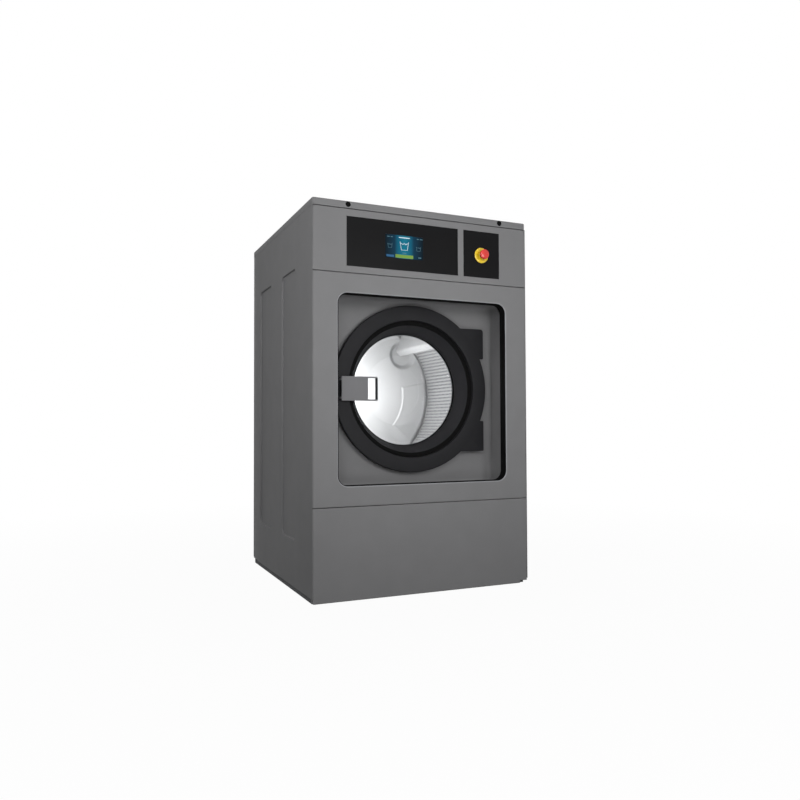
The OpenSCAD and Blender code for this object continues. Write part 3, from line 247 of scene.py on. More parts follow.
class Shell:
    """Grids of points and flat fills that become one closed mesh."""

    def __init__(self):
        self.points, self.faces, self.fills, self.count = [], [], [], 0

    def add(self, points, faces):
        """Adds points and the faces between them, and returns the number of the first point."""
        first = self.count
        self.points.append(points)
        self.faces += (np.asarray(faces) + first).tolist()
        self.count += len(points)
        return first

    def grid(self, points, close_rows=False):
        """Adds rows of points, each a closed loop, joined by quads, and returns the number of each point."""
        points = np.asarray(points, float)
        index = np.arange(points.shape[0] * points.shape[1]).reshape(points.shape[:2])
        right, down = np.roll(index, -1, 1), np.roll(index, -1, 0)
        quads = np.stack([index, right, np.roll(right, -1, 0), down], -1)
        quads = quads if close_rows else quads[:-1]
        return index + self.add(points.reshape(-1, 3), quads.reshape(-1, 4))

    def fill(self, *loops):
        """Fills the flat area between closed loops of point numbers."""
        self.fills.append([list(loop) for loop in loops])

    def cap(self, index):
        """Closes the first and the last row of a grid."""
        self.faces += [index[0].tolist(), index[-1].tolist()]

    def mesh(self, name):
        """The mesh, with its flat areas filled, doubles merged and its faces turned outwards."""
        pairs = [[pair for loop in loops for pair in zip(loop, loop[1:] + loop[:1])] for loops in self.fills]
        mesh = bpy.data.meshes.new(name)
        mesh.from_pydata(np.concatenate(self.points), sum(pairs, []), self.faces)
        made = bmesh.new()
        made.from_mesh(mesh)
        made.verts.ensure_lookup_table()
        for fill in pairs:
            rim = [made.edges.get((made.verts[a], made.verts[b])) for a, b in fill]
            bmesh.ops.triangle_fill(made, edges=rim, use_beauty=True)
        bmesh.ops.remove_doubles(made, verts=made.verts, dist=1e-6)
        bmesh.ops.recalc_face_normals(made, faces=made.faces)
        made.to_mesh(mesh)
        made.free()
        return mesh


def add_object(name, data):
    """An object in the scene, at the origin."""
    made = bpy.data.objects.new(name, data)
    bpy.context.scene.collection.objects.link(made)
    return made


def piece(name, shell, body, slot, node=None, material=None, smooth=35):
    """An object from a shell: smooth up to an angle, finished, riding on its body, and in place of a node."""
    mesh = shell.mesh(name)
    made = add_object(name, mesh)
    mesh.shade_smooth()
    mesh.set_sharp_from_angle(angle=math.radians(smooth))
    mesh.materials.append(material or finish(slot))
    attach(made, body)
    if node:
        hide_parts(node)


def ring(profile, radii=0.0, centre=(0, DOOR_Z), steps=180):
    """A closed profile in mm with rounded corners, turned to a closed ring."""
    shell = Shell()
    shell.grid(turned(rounded_mm(profile, radii), centre, steps), close_rows=True)
    return shell


# Materials

# What the eye sees on each real surface, as three layers of noise with sizes in mm: patches in the colour
# (size, detail, spread), grain in the sheen (size, detail, fall and rise of the roughness), and relief (size,
# detail, height)
SKINS = {
    # Powder-coated steel: cured powder flows to a satin skin with a fine orange peel, so highlights are soft.
    # The peel is about 1.5 mm; it is drawn at 4 mm so that it shows
    "powder": ((90, 4, 0.025), (4, 2, 0.04, 0.05), (4, 2, 0.05)),
    # Injection-moulded plastic: a spark-eroded tool leaves a fine matt grain over a slight gloss
    "moulded": ((60, 3, 0.06), (2.5, 3, 0.05, 0.07), (2.5, 3, 0.06)),
    # Vulcanised rubber: dull and slightly dusty, with no clear reflections
    "rubber": ((14, 5, 0.3), (14, 5, 0.12, 0.1), (1.5, 3, 0.05)),
    # Cold-rolled stainless steel: fine grinding lines along one way blur reflections across them. The lines
    # are about 0.1 mm apart; they are drawn broader so that they show
    "rolled": ((120, 3, 0.03), (3, 4, 0.05, 0.07), (3, 4, 0.03)),
    # Bright zinc plate: bluish and shiny, with a faint clouding from the bath
    "zinc": ((9, 4, 0.1), (9, 4, 0.08, 0.12), None),
    # Cast metal: a sandy skin from the mould, dull with uneven sheen
    "cast": ((25, 4, 0.12), (1.8, 4, 0.1, 0.12), (1.8, 4, 0.25)),
    # Polycarbonate buttons: smooth and glossy, with a few fine scuffs
    "resin": ((5, 6, 0.05), (5, 6, 0.05, 0.12), None),
    # Printed polyester film on the control panels: flat, satin and slightly pebbled
    "film": ((70, 2, 0.05), (1.6, 2, 0.04, 0.08), (1.6, 2, 0.02)),
    # Lit pixels under the cover glass: an even glow
    "pixels": ((3, 1, 0.04), None, None),
    # Toughened glass: clean and smooth, with a faint wash of wiping marks
    "glass": (None, (70, 3, 0, 0.03), None),
    # Cover glass of the screen: glossy, with faint finger marks
    "screen": (None, (30, 3, 0.04, 0.06), None),
    # Studio paper: matt and even
    "paper": ((500, 3, 0.01), None, None),
}
# Noise lies mostly between these two values
NOISE_LOW, NOISE_HIGH = 0.3, 0.7


def add_node(tree, kind, attributes=None, **inputs):
    """A shader node with its settings; an input is a value or a node's socket, and i0 means the first."""
    made = tree.nodes.new("ShaderNode" + kind)
    for name, value in (attributes or {}).items():
        setattr(made, name, value)
    for name, value in inputs.items():
        key = int(name[1:]) if name[0] == "i" and name[1:].isdigit() else name.replace("_", " ")
        if isinstance(value, bpy.types.NodeSocket):
            tree.links.new(value, made.inputs[key])
        else:
            made.inputs[key].default_value = value
    return made


def new_material(name, skin, colour, roughness, metallic=0.0, specular=0.5, stretch=(1, 1, 1)):
    """A material with a Principled shader, whose noise reads the object's own coordinates. The colour moves
    a little either way with the patches, roughness runs from low to high with the grain, and bump follows the
    relief; stretch below 1 draws grain and relief out along an axis."""
    colour = linear(colour) if isinstance(colour, str) else tuple(colour)
    made = bpy.data.materials.new(name)
    made.use_nodes = True
    made.diffuse_color = (*colour, 1)
    tree = made.node_tree
    tree.nodes.clear()
    place = add_node(tree, "TexCoord").outputs["Object"]
    shader = add_node(tree, "BsdfPrincipled", None, Base_Color=(*colour, 1), Roughness=roughness,
                      Metallic=metallic, Specular_IOR_Level=specular)
    out = add_node(tree, "OutputMaterial", None, Surface=shader.outputs[0])
    layers = []
    for layer, scale in zip(SKINS[skin], ((1, 1, 1), stretch, stretch)):
        if layer:
            scaled = add_node(tree, "Mapping", None, Vector=place, Scale=scale)
            noise = add_node(tree, "TexNoise", None, Vector=scaled.outputs[0], Scale=1 / (layer[0] * MM),
                             Detail=layer[1])
        layers.append((noise.outputs[0], *layer[2:]) if layer else None)
    patches, grain, relief = layers
    if patches:
        ramp = add_node(tree, "ValToRGB", None, Fac=patches[0])
        for element, position, sign in zip(ramp.color_ramp.elements, (NOISE_LOW, NOISE_HIGH), (-1, 1)):
            element.position = position
            element.color = (*np.clip(np.array(colour) * (1 + sign * patches[1]), 0, 1), 1)
        tree.links.new(ramp.outputs[0], shader.inputs["Base Color"])
    if grain:
        sheen = add_node(tree, "MapRange", None, Value=grain[0], i1=NOISE_LOW, i2=NOISE_HIGH,
                         i3=roughness - grain[1], i4=roughness + grain[2])
        tree.links.new(sheen.outputs[0], shader.inputs["Roughness"])
    if relief:
        bump = add_node(tree, "Bump", None, Height=relief[0], Distance=relief[1] * MM)
        tree.links.new(bump.outputs[0], shader.inputs["Normal"])
    return made, tree, shader, out, place


def ray_share(tree, *kinds, least=0.0):
    """1 for light rays of the kinds named and a least value for all others: the greatest of the outputs."""
    rays = add_node(tree, "LightPath")
    for kind in kinds:
        least = add_node(tree, "Math", {"operation": "MAXIMUM"}, i0=rays.outputs[f"Is {kind} Ray"],
                         i1=least).outputs[0]
    return least


def door_glass():
    """Toughened borosilicate door glass: clear, with a faint tint. Rays from lamps and light that comes off
    the drum pass straight through it, as through thin clean glass."""
    tint = settings("door").glass_tint
    made, tree, shader, out, _ = new_material("borosilicate_glass", "glass", tint, 0.0)
    shader.inputs["Transmission Weight"].default_value = 1.0
    shader.inputs["IOR"].default_value = 1.45
    clear = add_node(tree, "BsdfTransparent", None, Color=(*tint, 1))
    mix = add_node(tree, "MixShader", None, Fac=ray_share(tree, "Shadow", "Diffuse", "Glossy", least=0.93),
                   i1=shader.outputs[0], i2=clear.outputs[0])
    tree.links.new(mix.outputs[0], out.inputs["Surface"])
    return made


def lit_film(name, colour, strength):
    """A backlit part of the screen: its colour glows a little under the cover glass."""
    made, _, shader, _, _ = new_material(name, "pixels", colour, 0.2, specular=0.1)
    shader.inputs["Emission Color"].default_value = (*linear(colour), 1)
    shader.inputs["Emission Strength"].default_value = strength
    return made


def screen_glass():
    """The screen's picture behind gloss glass: a teal field that is lightest in the middle and dark at both
    sides. The tone follows the distance from the middle, as a share of half the width."""
    low, high = node_box("display")
    half = float(high[0] - low[0]) / 2
    made, tree, shader, _, place = new_material("display_glass", "screen", "#0e5470", 0.12, specular=0.1)
    centred = add_node(tree, "Mapping", None, Vector=place, Location=tuple(-(low + high) / 2))
    parts = add_node(tree, "SeparateXYZ", None, Vector=centred.outputs[0])
    across = add_node(tree, "Math", {"operation": "ABSOLUTE"}, i0=parts.outputs[0])
    share = add_node(tree, "Math", {"operation": "DIVIDE"}, i0=across.outputs[0], i1=half)
    ramp = add_node(tree, "ValToRGB", None, Fac=share.outputs[0])
    stops = ((0.0, "#126a80"), (0.36, "#0d5068"), (0.5, "#093043"), (0.85, "#061e2b"), (1.0, "#04141d"))
    while len(ramp.color_ramp.elements) < len(stops):
        ramp.color_ramp.elements.new(0.5)
    for element, (position, tone) in zip(ramp.color_ramp.elements, stops):
        element.position = position
        element.color = (*linear(tone), 1)
    for name in ("Base Color", "Emission Color"):
        tree.links.new(ramp.outputs[0], shader.inputs[name])
    shader.inputs["Emission Strength"].default_value = 0.2
    return made


finishes_made = {}


def finish(slot):
    """The material for one of the record's slots, made once."""
    cabinet, door, drum, controls = (settings(g) for g in ("cabinet", "door", "drum", "controls"))
    # Slot: material, skin, colour, roughness, metallic, specular, stretch
    recipes = {
        "grey_enamel": ("powder_coated_steel", "powder", cabinet.paint, 0.54, 0, 0.03),
        "dark_enamel": ("powder_coated_frame", "powder", "#595a5c", 0.54, 0, 0.03),
        # The recess's paint, a shade darker than the cabinet's, is painted shade
        "recess_enamel": ("powder_coated_recess", "powder", cabinet.recess_paint_shaded, 0.54, 0, 0.03),
        "handle_metal": ("handle_lacquer", "powder", door.handle, 0.4, 0, 0.03),
        "motor_paint": ("motor_enamel", "powder", "#3e4d5c", 0.5, 0, 0.03),
        "black_rubber": ("vulcanised_rubber", "rubber", "#101010", 0.7, 0, 0.03),
        "black_moulding": ("moulded_abs", "moulded", door.cover, 0.52, 0, 0.1),
        "grey_plastic": ("grey_polypropylene", "moulded", "#8e9092", 0.5, 0, 0.1),
        "white_plastic": ("white_polypropylene", "moulded", "#d6d7d8", 0.5, 0, 0.1),
        "black_panel": ("polyester_film", "film", controls.panel, 0.34, 0, 0.06),
        "stop_yellow": ("yellow_polycarbonate", "resin", controls.stop_disc, 0.16),
        "stop_red": ("red_polycarbonate", "resin", controls.stop_button, 0.16),
        # The stainless is a dark grey: painted shade, so the tub seen through the drum's holes looks shaded
        "stainless": ("brushed_stainless", "rolled", "#64666a", 0.34, 1, 0.5, (0.05, 1, 1)),
        "drum_steel": ("rolled_stainless", "rolled", drum.steel, 0.4, 0.35, 0.5, (1, 0.05, 1)),
        "bright_steel": ("zinc_plated_steel", "zinc", "#b9bcc0", 0.3, 1),
        "cast_alloy": ("die_cast_aluminium", "cast", "#a6a8aa", 0.55, 1),
        "cast_iron": ("grey_cast_iron", "cast", "#5a5c5f", 0.62, 0.7),
    }
    glasses = {"door_glass": door_glass, "screen": screen_glass}
    if slot not in finishes_made:
        finishes_made[slot] = glasses[slot]() if slot in glasses else new_material(*recipes[slot])[0]
    return finishes_made[slot]


class WASHER_OT_studio(Step, bpy.types.Operator):
    """White floor and backdrop, soft lights, and the camera at the picture's angle"""
    bl_idname = "washer.studio"
    bl_label = "Studio"

    def execute(self, context):
        studio = settings("studio")
        self.place_camera(context.scene, studio.focal)
        self.lay_floor()
        self.light_sky(context.scene, studio.ambient)
        # Each softbox: place, what it is turned to, side length, spread in degrees, and power. The last two
        # stand behind the front's plane, for the views of the back and of the right side
        for name, place, target, size, spread, power in (
                ("key_light", (0.3, -2.7, 1.1), (0, FRONT_Y, 1.1), 1.0, 180, studio.key_power),
                ("wash_light", (-1.4, -3.0, 1.8), (0, FRONT_Y, 1.3), 1.0, 180, studio.wash_power),
                ("low_light", (-0.7, -2.1, 0.15), (0.15, FRONT_Y, 1.2), 0.5, 70, studio.low_power),
                ("side_light", (-2.2, -1.0, 2.0), (-0.44, FRONT_Y, 1.3), 0.6, 180, studio.side_power),
                ("back_light", (0.4, 3.2, 1.9), (0, 0.45, 0.8), 1.5, 180, studio.rear_power),
                ("right_light", (3.0, 0.1, 1.9), (0.44, 0, 0.8), 1.2, 180, studio.rear_power / 2)):
            light = self.lamp(name, "AREA", place, power)
            light.data.size, light.data.spread = size, math.radians(spread)
            light.rotation_euler = (Vector(target) - Vector(place)).to_track_quat("-Z", "Y").to_euler()
        # A round lamp inside the drum lights its back and wall, and isn't seen itself
        light = self.lamp("drum_light", "POINT", (-0.1, FRONT_Y + 0.46, DOOR_Z + 0.01), studio.drum_power)
        light.data.shadow_soft_size = 0.05
        light.visible_transmission = light.visible_glossy = False
        context.scene.view_settings.view_transform = "Standard"
        return {"FINISHED"}

    def lamp(self, name, kind, place, power):
        """A lamp that the camera doesn't see."""
        light = add_object(name, bpy.data.lights.new(name, kind))
        light.data.energy = power
        light.location = place
        light.visible_camera = False
        return light

    def place_camera(self, scene, focal):
        """The camera stands left of the door, half as high as the machine, and looks slightly up."""
        yaw, pitch, roll = 0.42489, 0.02847, -0.00392
        forward = Vector((math.sin(yaw) * math.cos(pitch), math.cos(yaw) * math.cos(pitch), math.sin(pitch)))
        level = Vector((math.cos(yaw), -math.sin(yaw), 0))
        upward = level.cross(forward)
        right = math.cos(roll) * level + math.sin(roll) * upward
        top = math.cos(roll) * upward - math.sin(roll) * level
        camera = add_object("camera", bpy.data.cameras.new("camera"))
        camera.data.lens, camera.data.sensor_width = focal, 36
        camera.data.shift_x, camera.data.shift_y = -0.00805, 0.00616
        camera.matrix_world = Matrix((right, top, -forward)).transposed().to_4x4()
        camera.location = (-1.2038, -2.9438, 0.6221)
        scene.camera = camera

    def lay_floor(self):
        """A pale floor disc; seen by the camera it is nearly white and keeps the machine's shadow."""
        mesh = bpy.data.meshes.new("floor")
        radius, sides = 40, 64
        a = arc(0, 360, sides + 1)[:-1]
        rim = np.column_stack([radius * np.cos(a), radius * np.sin(a), 0 * a])
        mesh.from_pydata(rim.tolist(), [], [list(range(sides))])
        floor = add_object("floor", mesh)
        floor.location.z = -0.0005
        made, tree, shader, out, place = new_material("studio_floor", "paper", "#606060", 0.9, specular=0.0)
        glow = add_node(tree, "Emission", None, Color=(1, 1, 1, 1), Strength=1.0)
        away = add_node(tree, "VectorMath", {"operation": "LENGTH"}, i0=place)
        white = add_node(tree, "MapRange", None, Value=away.outputs["Value"], i1=0.7, i2=3.2, i3=0.97, i4=1.0)
        share = add_node(tree, "Math", {"operation": "MULTIPLY"}, i0=ray_share(tree, "Camera", "Glossy"),
                         i1=white.outputs[0])
        mix = add_node(tree, "MixShader", None, Fac=share.outputs[0], i1=shader.outputs[0],
                       i2=glow.outputs[0])
        tree.links.new(mix.outputs[0], out.inputs["Surface"])
        mesh.materials.append(made)

    def light_sky(self, scene, ambient):
        """Even light from all around, which the camera, metal and glass see as white."""
        world = bpy.data.worlds.new("studio")
        world.use_nodes = True
        tree = world.node_tree
        tree.nodes.clear()
        seen = ray_share(tree, "Camera", "Glossy", "Transmission")
        level = add_node(tree, "MapRange", None, Value=seen, i3=ambient, i4=1.0)
        sky = add_node(tree, "Background", None, Color=(1, 1, 1, 1), Strength=level.outputs[0])
        add_node(tree, "OutputWorld", None, Surface=sky.outputs[0])
        scene.world = world


class WASHER_OT_finishes(Step, bpy.types.Operator):
    """Real finishes on every piece of the frame that stays as it is"""
    bl_idname = "washer.finishes"
    bl_label = "Frame finishes"

    def execute(self, context):
        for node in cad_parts.values():
            for place in node.material_slots:
                place.material = finish(place.material.name.split(".")[0])
        return {"FINISHED"}


class WASHER_OT_side_panels(Step, bpy.types.Operator):
    """Side panels of sheet steel, each with two deep-drawn fields"""
    bl_idname = "washer.side_panels"
    bl_label = "Side panels"

    def execute(self, context):
        for side, name in ((-1, "side_panel_left"), (1, "side_panel_right")):
            piece(name + "_drawn", self.panel(name, side), "cabinet", "grey_enamel", name)
        return {"FINISHED"}

    def panel(self, name, side):
        """Depth is a smooth step of the distance inside each field's round outline; the sheet's edges are
        half circles, and the inner skin follows the outer one at the sheet's thickness."""
        cabinet = settings("cabinet")
        low, high = node_box(name)
        depth = high[1] - FRONT_Y
        # The sheet runs up a little way under the lid
        tuck = 1.4 * MM
        foot, top = low[2], high[2] + tuck
        # The fields' lower and upper ends, and the plain sheet before the first and behind the second
        field_z, front_margin, rear_margin = (195 * MM, 1220 * MM), 212 * MM, 127 * MM
        starts = (front_margin, depth - rear_margin - cabinet.field_inset)
        near = np.concatenate([np.linspace(-0.6, 4.2, 9), np.linspace(6, 27, 10)]) * MM
        edges = [(s, s + cabinet.field_inset) for s in starts]
        y = np.unique(np.round(np.concatenate(
            [[SHEET / 2, depth - SHEET / 2]] + [np.concatenate([a + near, b - near]) for a, b in edges]), 6))
        z = np.unique(np.round(np.concatenate([[foot, top], field_z[0] + near, field_z[1] - near]), 6))
        turn = arc(180, 0, 7)[1:-1]
        front = np.column_stack([SHEET / 2 * (1 - np.cos(turn)), SHEET / 2 * (1 - np.sin(turn))])
        rear = np.column_stack([SHEET - front[:, 0], depth - front[:, 1]])
        loop = np.concatenate([front, np.column_stack([0 * y, y]), rear,
                               np.column_stack([0 * y + SHEET, y[::-1]])])
        yy, zz = np.meshgrid(loop[:, 1], z)
        press, radius = 0, cabinet.field_radius
        for a, b in edges:
            half_y, half_z = (b - a) / 2 - radius, (field_z[1] - field_z[0]) / 2 - radius
            qy, qz = np.abs(yy - (a + b) / 2) - half_y, np.abs(zz - sum(field_z) / 2) - half_z
            outside = np.hypot(np.maximum(qy, 0), np.maximum(qz, 0)) + np.minimum(np.maximum(qy, qz), 0)
            press += cabinet.field_depth * smooth_step((radius - outside) / cabinet.field_shoulder)
        # The lower rear corner rises in a straight slope
        lift, run = 8 * MM, 73 * MM
        rise = np.clip((yy - depth + run) / run, 0, 1) * lift
        zz = zz + rise * (top - zz) / (top - foot)
        shell = Shell()
        shell.cap(shell.grid(np.stack([side * (SIDE_X - loop[:, 0] - press), FRONT_Y + yy, zz], -1)))
        return shell


class WASHER_OT_top_lid(Step, bpy.types.Operator):
    """Lid with folded rim and the two rubber plugs in its front edge"""
    bl_idname = "washer.top_lid"
    bl_label = "Lid"

    def execute(self, context):
        low, high = node_box("top_lid")
        soap_low, soap_high = node_box("soap_lid")
        fold, gap = settings("cabinet").lid_bend, 1.5 * MM
        hole_edge = [(-SUPPORT, 0), (0, 0.4 * MM), (0, SHEET), (-SUPPORT, SHEET)]
        shell = Shell()
        rim, cut = (
            shell.grid([np.insert(rect(a[:2], b[:2], inset, radius), 2, high[2] - drop, axis=1)
                        for inset, drop in path])
            for a, b, radius, path in ((low, high, 2 * fold, folded_edge(fold, high[2] - low[2])),
                                       (soap_low - gap, soap_high + gap, 2 * MM, hole_edge)))
        shell.fill(rim[0], cut[0])
        shell.fill(rim[-1], cut[-1])
        piece("top_lid_folded", shell, "cabinet", "grey_enamel", "top_lid")
        self.plugs()
        return {"FINISHED"}

    def plugs(self):
        """Domed rubber plugs: a spherical cap with a rounded brim."""
        low, high = node_box("lid_plugs")
        radius, crown, brim = (high[2] - low[2]) / 2, 1.9 * MM, 0.1 * MM
        t = arc(0, 90, 8)
        dome = np.column_stack([radius * np.sin(t), -crown * np.cos(t)])
        profile = np.concatenate([dome, [(radius, 0), (radius - 1.6 * MM, brim), (0, brim)]])
        shell = Shell()
        for x in (low[0] + radius, high[0] - radius):
            shell.grid(turned(profile, (x, (low[2] + high[2]) / 2), 32))
        piece("lid_plug_domes", shell, "cabinet", "black_rubber", "lid_plugs")


def opening():
    """Lower left and upper right corner of the opening in the front panel, in X and Z."""
    low, high = node_box("opening_trim")
    margin = 19 * MM
    return low[[0, 2]] + margin, high[[0, 2]] - margin


class WASHER_OT_front_panels(Step, bpy.types.Operator):
    """Front panel, kick panel and control fascia, folded from sheet steel"""
    bl_idname = "washer.front_panels"
    bl_label = "Front panels"

    def execute(self, context):
        windows, gap = [], 0.3 * MM
        for name in ("control_panel", "stop_panel"):
            low, high = node_box(name)
            windows.append((low[[0, 2]] - gap, high[[0, 2]] + gap, 0.8 * MM))
        for name, holes, rolled, outline in (
                ("front_panel", [(*opening(), OPENING_RADIUS)], 3.2 * MM, rect),
                ("kick_panel", [], 0.5 * MM, self.notched),
                ("control_fascia", windows, 0.5 * MM, rect)):
            shell = self.folded_sheet(*node_box(name), holes, rolled, outline)
            piece(name + "_folded", shell, "cabinet", "grey_enamel", name)
        return {"FINISHED"}

    def folded_sheet(self, low, high, holes, rolled, outline):
        """A sheet panel facing -Y: its face, edges folded back round a radius, the same again on its inner
        side, and holes with a rolled edge. Each hole is (low, high, radius)."""
        shell = Shell()
        seam_bend, corner = 2.5 * MM, 1.5 * MM
        path = folded_edge(seam_bend, high[1] - low[1])
        grids = [shell.grid(carried(path, low[[0, 2]], high[[0, 2]], corner + seam_bend, outline=outline))]
        for hole_low, hole_high, radius in holes:
            path = [(-rolled - SUPPORT, 0)] + [(-i, d) for i, d in bend(rolled)]
            if rolled > SHEET:
                deep = rolled + 2 * MM
                path += [(0, deep), (-SHEET, deep), (-SHEET, rolled), (-rolled - SUPPORT, SHEET)]
            else:
                path += [(0, SHEET), (-SUPPORT, SHEET)]
            grids.append(shell.grid(carried(path, hole_low, hole_high, radius, 10)))
        shell.fill(*[g[0] for g in grids])
        shell.fill(*[g[-1] for g in grids])
        return shell

    def notched(self, low, high, inset=0.0, radius=0.0, steps=6):
        """A rectangle with round corners and a square hand notch cut out of its lower right corner."""
        x0, z0, x1, z1 = low[0] + inset, low[1] + inset, high[0] - inset, high[1] - inset
        notch_width, notch_height = 32 * MM, 9 * MM
        x, z = x1 - notch_width, z0 + notch_height
        corner, sharp = max(radius - inset, 0.3 * MM), 0.6 * MM
        return rounded([(x0, z0), (x, z0), (x, z), (x1, z), (x1, z1), (x0, z1)],
                       [corner, sharp, sharp, sharp, corner, corner], steps)


class WASHER_OT_recess(Step, bpy.types.Operator):
    """Black trim in the opening, and the recess pan behind it"""
    bl_idname = "washer.recess"
    bl_label = "Door recess"

    def execute(self, context):
        # The bead's lighter, glossier coat is a painted highlight along the opening's rolled edge
        highlight_coat = new_material("powder_coat_painted_highlight", "powder", "#96979a", 0.4, specular=0.25)[0]
        piece("opening_edge_bead", self.bead(), "cabinet", "grey_enamel", material=highlight_coat)
        piece("opening_trim_lipped", self.trim(), "cabinet", "black_rubber", "opening_trim")
        piece("door_recess_drawn", self.pan(), "cabinet", "recess_enamel", "door_recess_pan")
        return {"FINISHED"}

    def sleeve(self, profile):
        """A closed profile of inset and depth, carried round the opening's outline."""
        shell = Shell()
        shell.grid(carried(profile, *opening(), OPENING_RADIUS, 10), close_rows=True)
        return shell

    def bead(self):
        """The opening's rolled edge, lighter as a painted highlight: a quarter round carried round it."""
        a, radius = arc(0, 90, 6), 3.6
        round_edge = np.column_stack([radius * np.sin(a) - 3.5, radius * (1 - np.cos(a)) - 0.15])
        return self.sleeve(np.concatenate([round_edge, [(0.1, 4.4), (-0.6, 4.4), (-3.5, 0.8)]]) * MM)

    def trim(self):
        """A sleeve with a raised lip and a flange."""
        return self.sleeve(rounded_mm(
            [(0.3, 0.8), (1.7, 0.8), (1.9, 17), (3, 19), (3, 21), (1.9, 23), (1.9, 38), (-7, 48), (-18.5, 48),
             (-18.5, 46), (-7.5, 46), (0.3, 37)], [0.5, 0.6, 1, 0.8, 0.8, 1, 3, 3, 0.5, 0.5, 0, 0], 4))

    def pan(self):
        """Walls that turn into the floor round a radius, a round hole, a slot for the handle's tongue, and
        the same again on the outer side."""
        low, high = node_box("door_recess_pan")
        floor, front = high[1] - SHEET - FRONT_Y, low[1] - FRONT_Y
        low, high = (low + SHEET)[[0, 2]], (high - SHEET)[[0, 2]]
        fold, corner_radius, clearance = settings("cabinet").pan_bend, 16 * MM, 2 * MM

        def wall(edge):
            """Down the wall that stands outside by an edge, round the fold and on to the floor."""
            radius, base = fold + edge, floor + edge
            corner = [(radius * (1 - np.cos(a)) - edge, base - radius * (1 - np.sin(a)))
                      for a in arc(0, 90, 7)]
            return [(-edge, front), *corner, (fold + SUPPORT, base)]

        shell = Shell()
        inside, outside, _ = (shell.grid(carried(path, low, high, corner_radius, 8))
                              for path in (wall(0), wall(SHEET)[::-1], [(0, front), (-SHEET, front)]))
        seal_low, seal_high = node_box("door_seal")
        hole_radius = (seal_high[0] - seal_low[0]) / 2 + clearance
        both = (floor, floor + SHEET)
        hole = shell.grid(turned([(hole_radius, d) for d in both], steps=120))
        slot_low, slot_high = np.array([-305, 749]) * MM, np.array([-276, 775]) * MM
        slot = shell.grid(carried([(0, d) for d in both], slot_low, slot_high, 3 * MM))
        shell.fill(inside[-1], hole[0], slot[0])
        shell.fill(outside[0], hole[1], slot[1])
        return shell


class WASHER_OT_display(Step, bpy.types.Operator):
    """Touch display with its tiles and a wash tub sign"""
    bl_idname = "washer.display"
    bl_label = "Display"

    def execute(self, context):
        low, high = node_box("display")
        self.centre = (low + high)[[0, 2]] / 2
        self.face = low[1] - FRONT_Y
        white = lit_film("lit_white_pixels", "#c9dbe0", 0.25)
        dim = lit_film("lit_grey_pixels", "#4e7280", 0.12)
        green = lit_film("lit_green_pixels", "#6f9140", 0.16)
        blue = lit_film("lit_blue_pixels", "#2f5a80", 0.16)
        self.tiles("display_title", white, [(-22, 33, 44, 3.2)])
        self.tiles("display_status_signs", dim, [(-69, 33, 10, 3), (-55, 33, 8, 3), (51, 33, 8, 3),
                                                 (63, 33, 12, 3), (-8, -24, 16, 2.6), (57, -37, 12, 4)])
        self.tiles("display_start_bar", green, [(-36, -41, 72, 12)])
        self.tiles("display_left_bar", blue, [(-72, -40, 30, 8)])
        self.tub("display_tub_sign", white, (0, 4), 17, 1.6)
        self.tub("display_side_signs", dim, (-58, 2), 9, 1.1)
        self.tub("display_side_signs_right", dim, (58, -2), 9, 1.1)
        return {"FINISHED"}

    def tiles(self, name, material, boxes):
        """Flat rounded tiles; each box is left, lower, width and height from the display's centre, in mm."""
        shell = Shell()
        path = [(inset * MM, self.face + d * MM) for inset, d in ((0.05, -0.2), (0, -0.12), (0, 0))]
        for box in np.array(boxes) * MM:
            corner = self.centre + box[:2]
            shell.cap(shell.grid(carried(path, corner, corner + box[2:], 1 * MM, 4)))
        piece(name, shell, "cabinet", "screen", material=material)

    def tub(self, name, material, place, half, line):
        """The usual sign of a wash tub: two slanting sides, a floor and a wave, each a thin bar."""
        shell = Shell()
        tub = np.array([(-1, 0.9), (-0.72, -0.9), (0.72, -0.9), (1, 0.9)])
        wave_x = np.linspace(-0.86, 0.86, 15)
        wave = np.column_stack([wave_x, 0.45 + 0.14 * np.cos(wave_x * 9)])
        for path in (tub, wave):
            path = self.centre + (np.array(place) + path * half) * MM
            along = np.gradient(path, axis=0)
            across = np.column_stack([-along[:, 1], along[:, 0]])
            across *= line * MM / 2 / np.linalg.norm(across, axis=1)[:, None]
            rim = np.concatenate([path + across, (path - across)[::-1]])
            shell.cap(shell.grid([at_depth(rim, self.face + d) for d in (-0.2 * MM, 0)]))
        piece(name, shell, "cabinet", "screen", material=material)


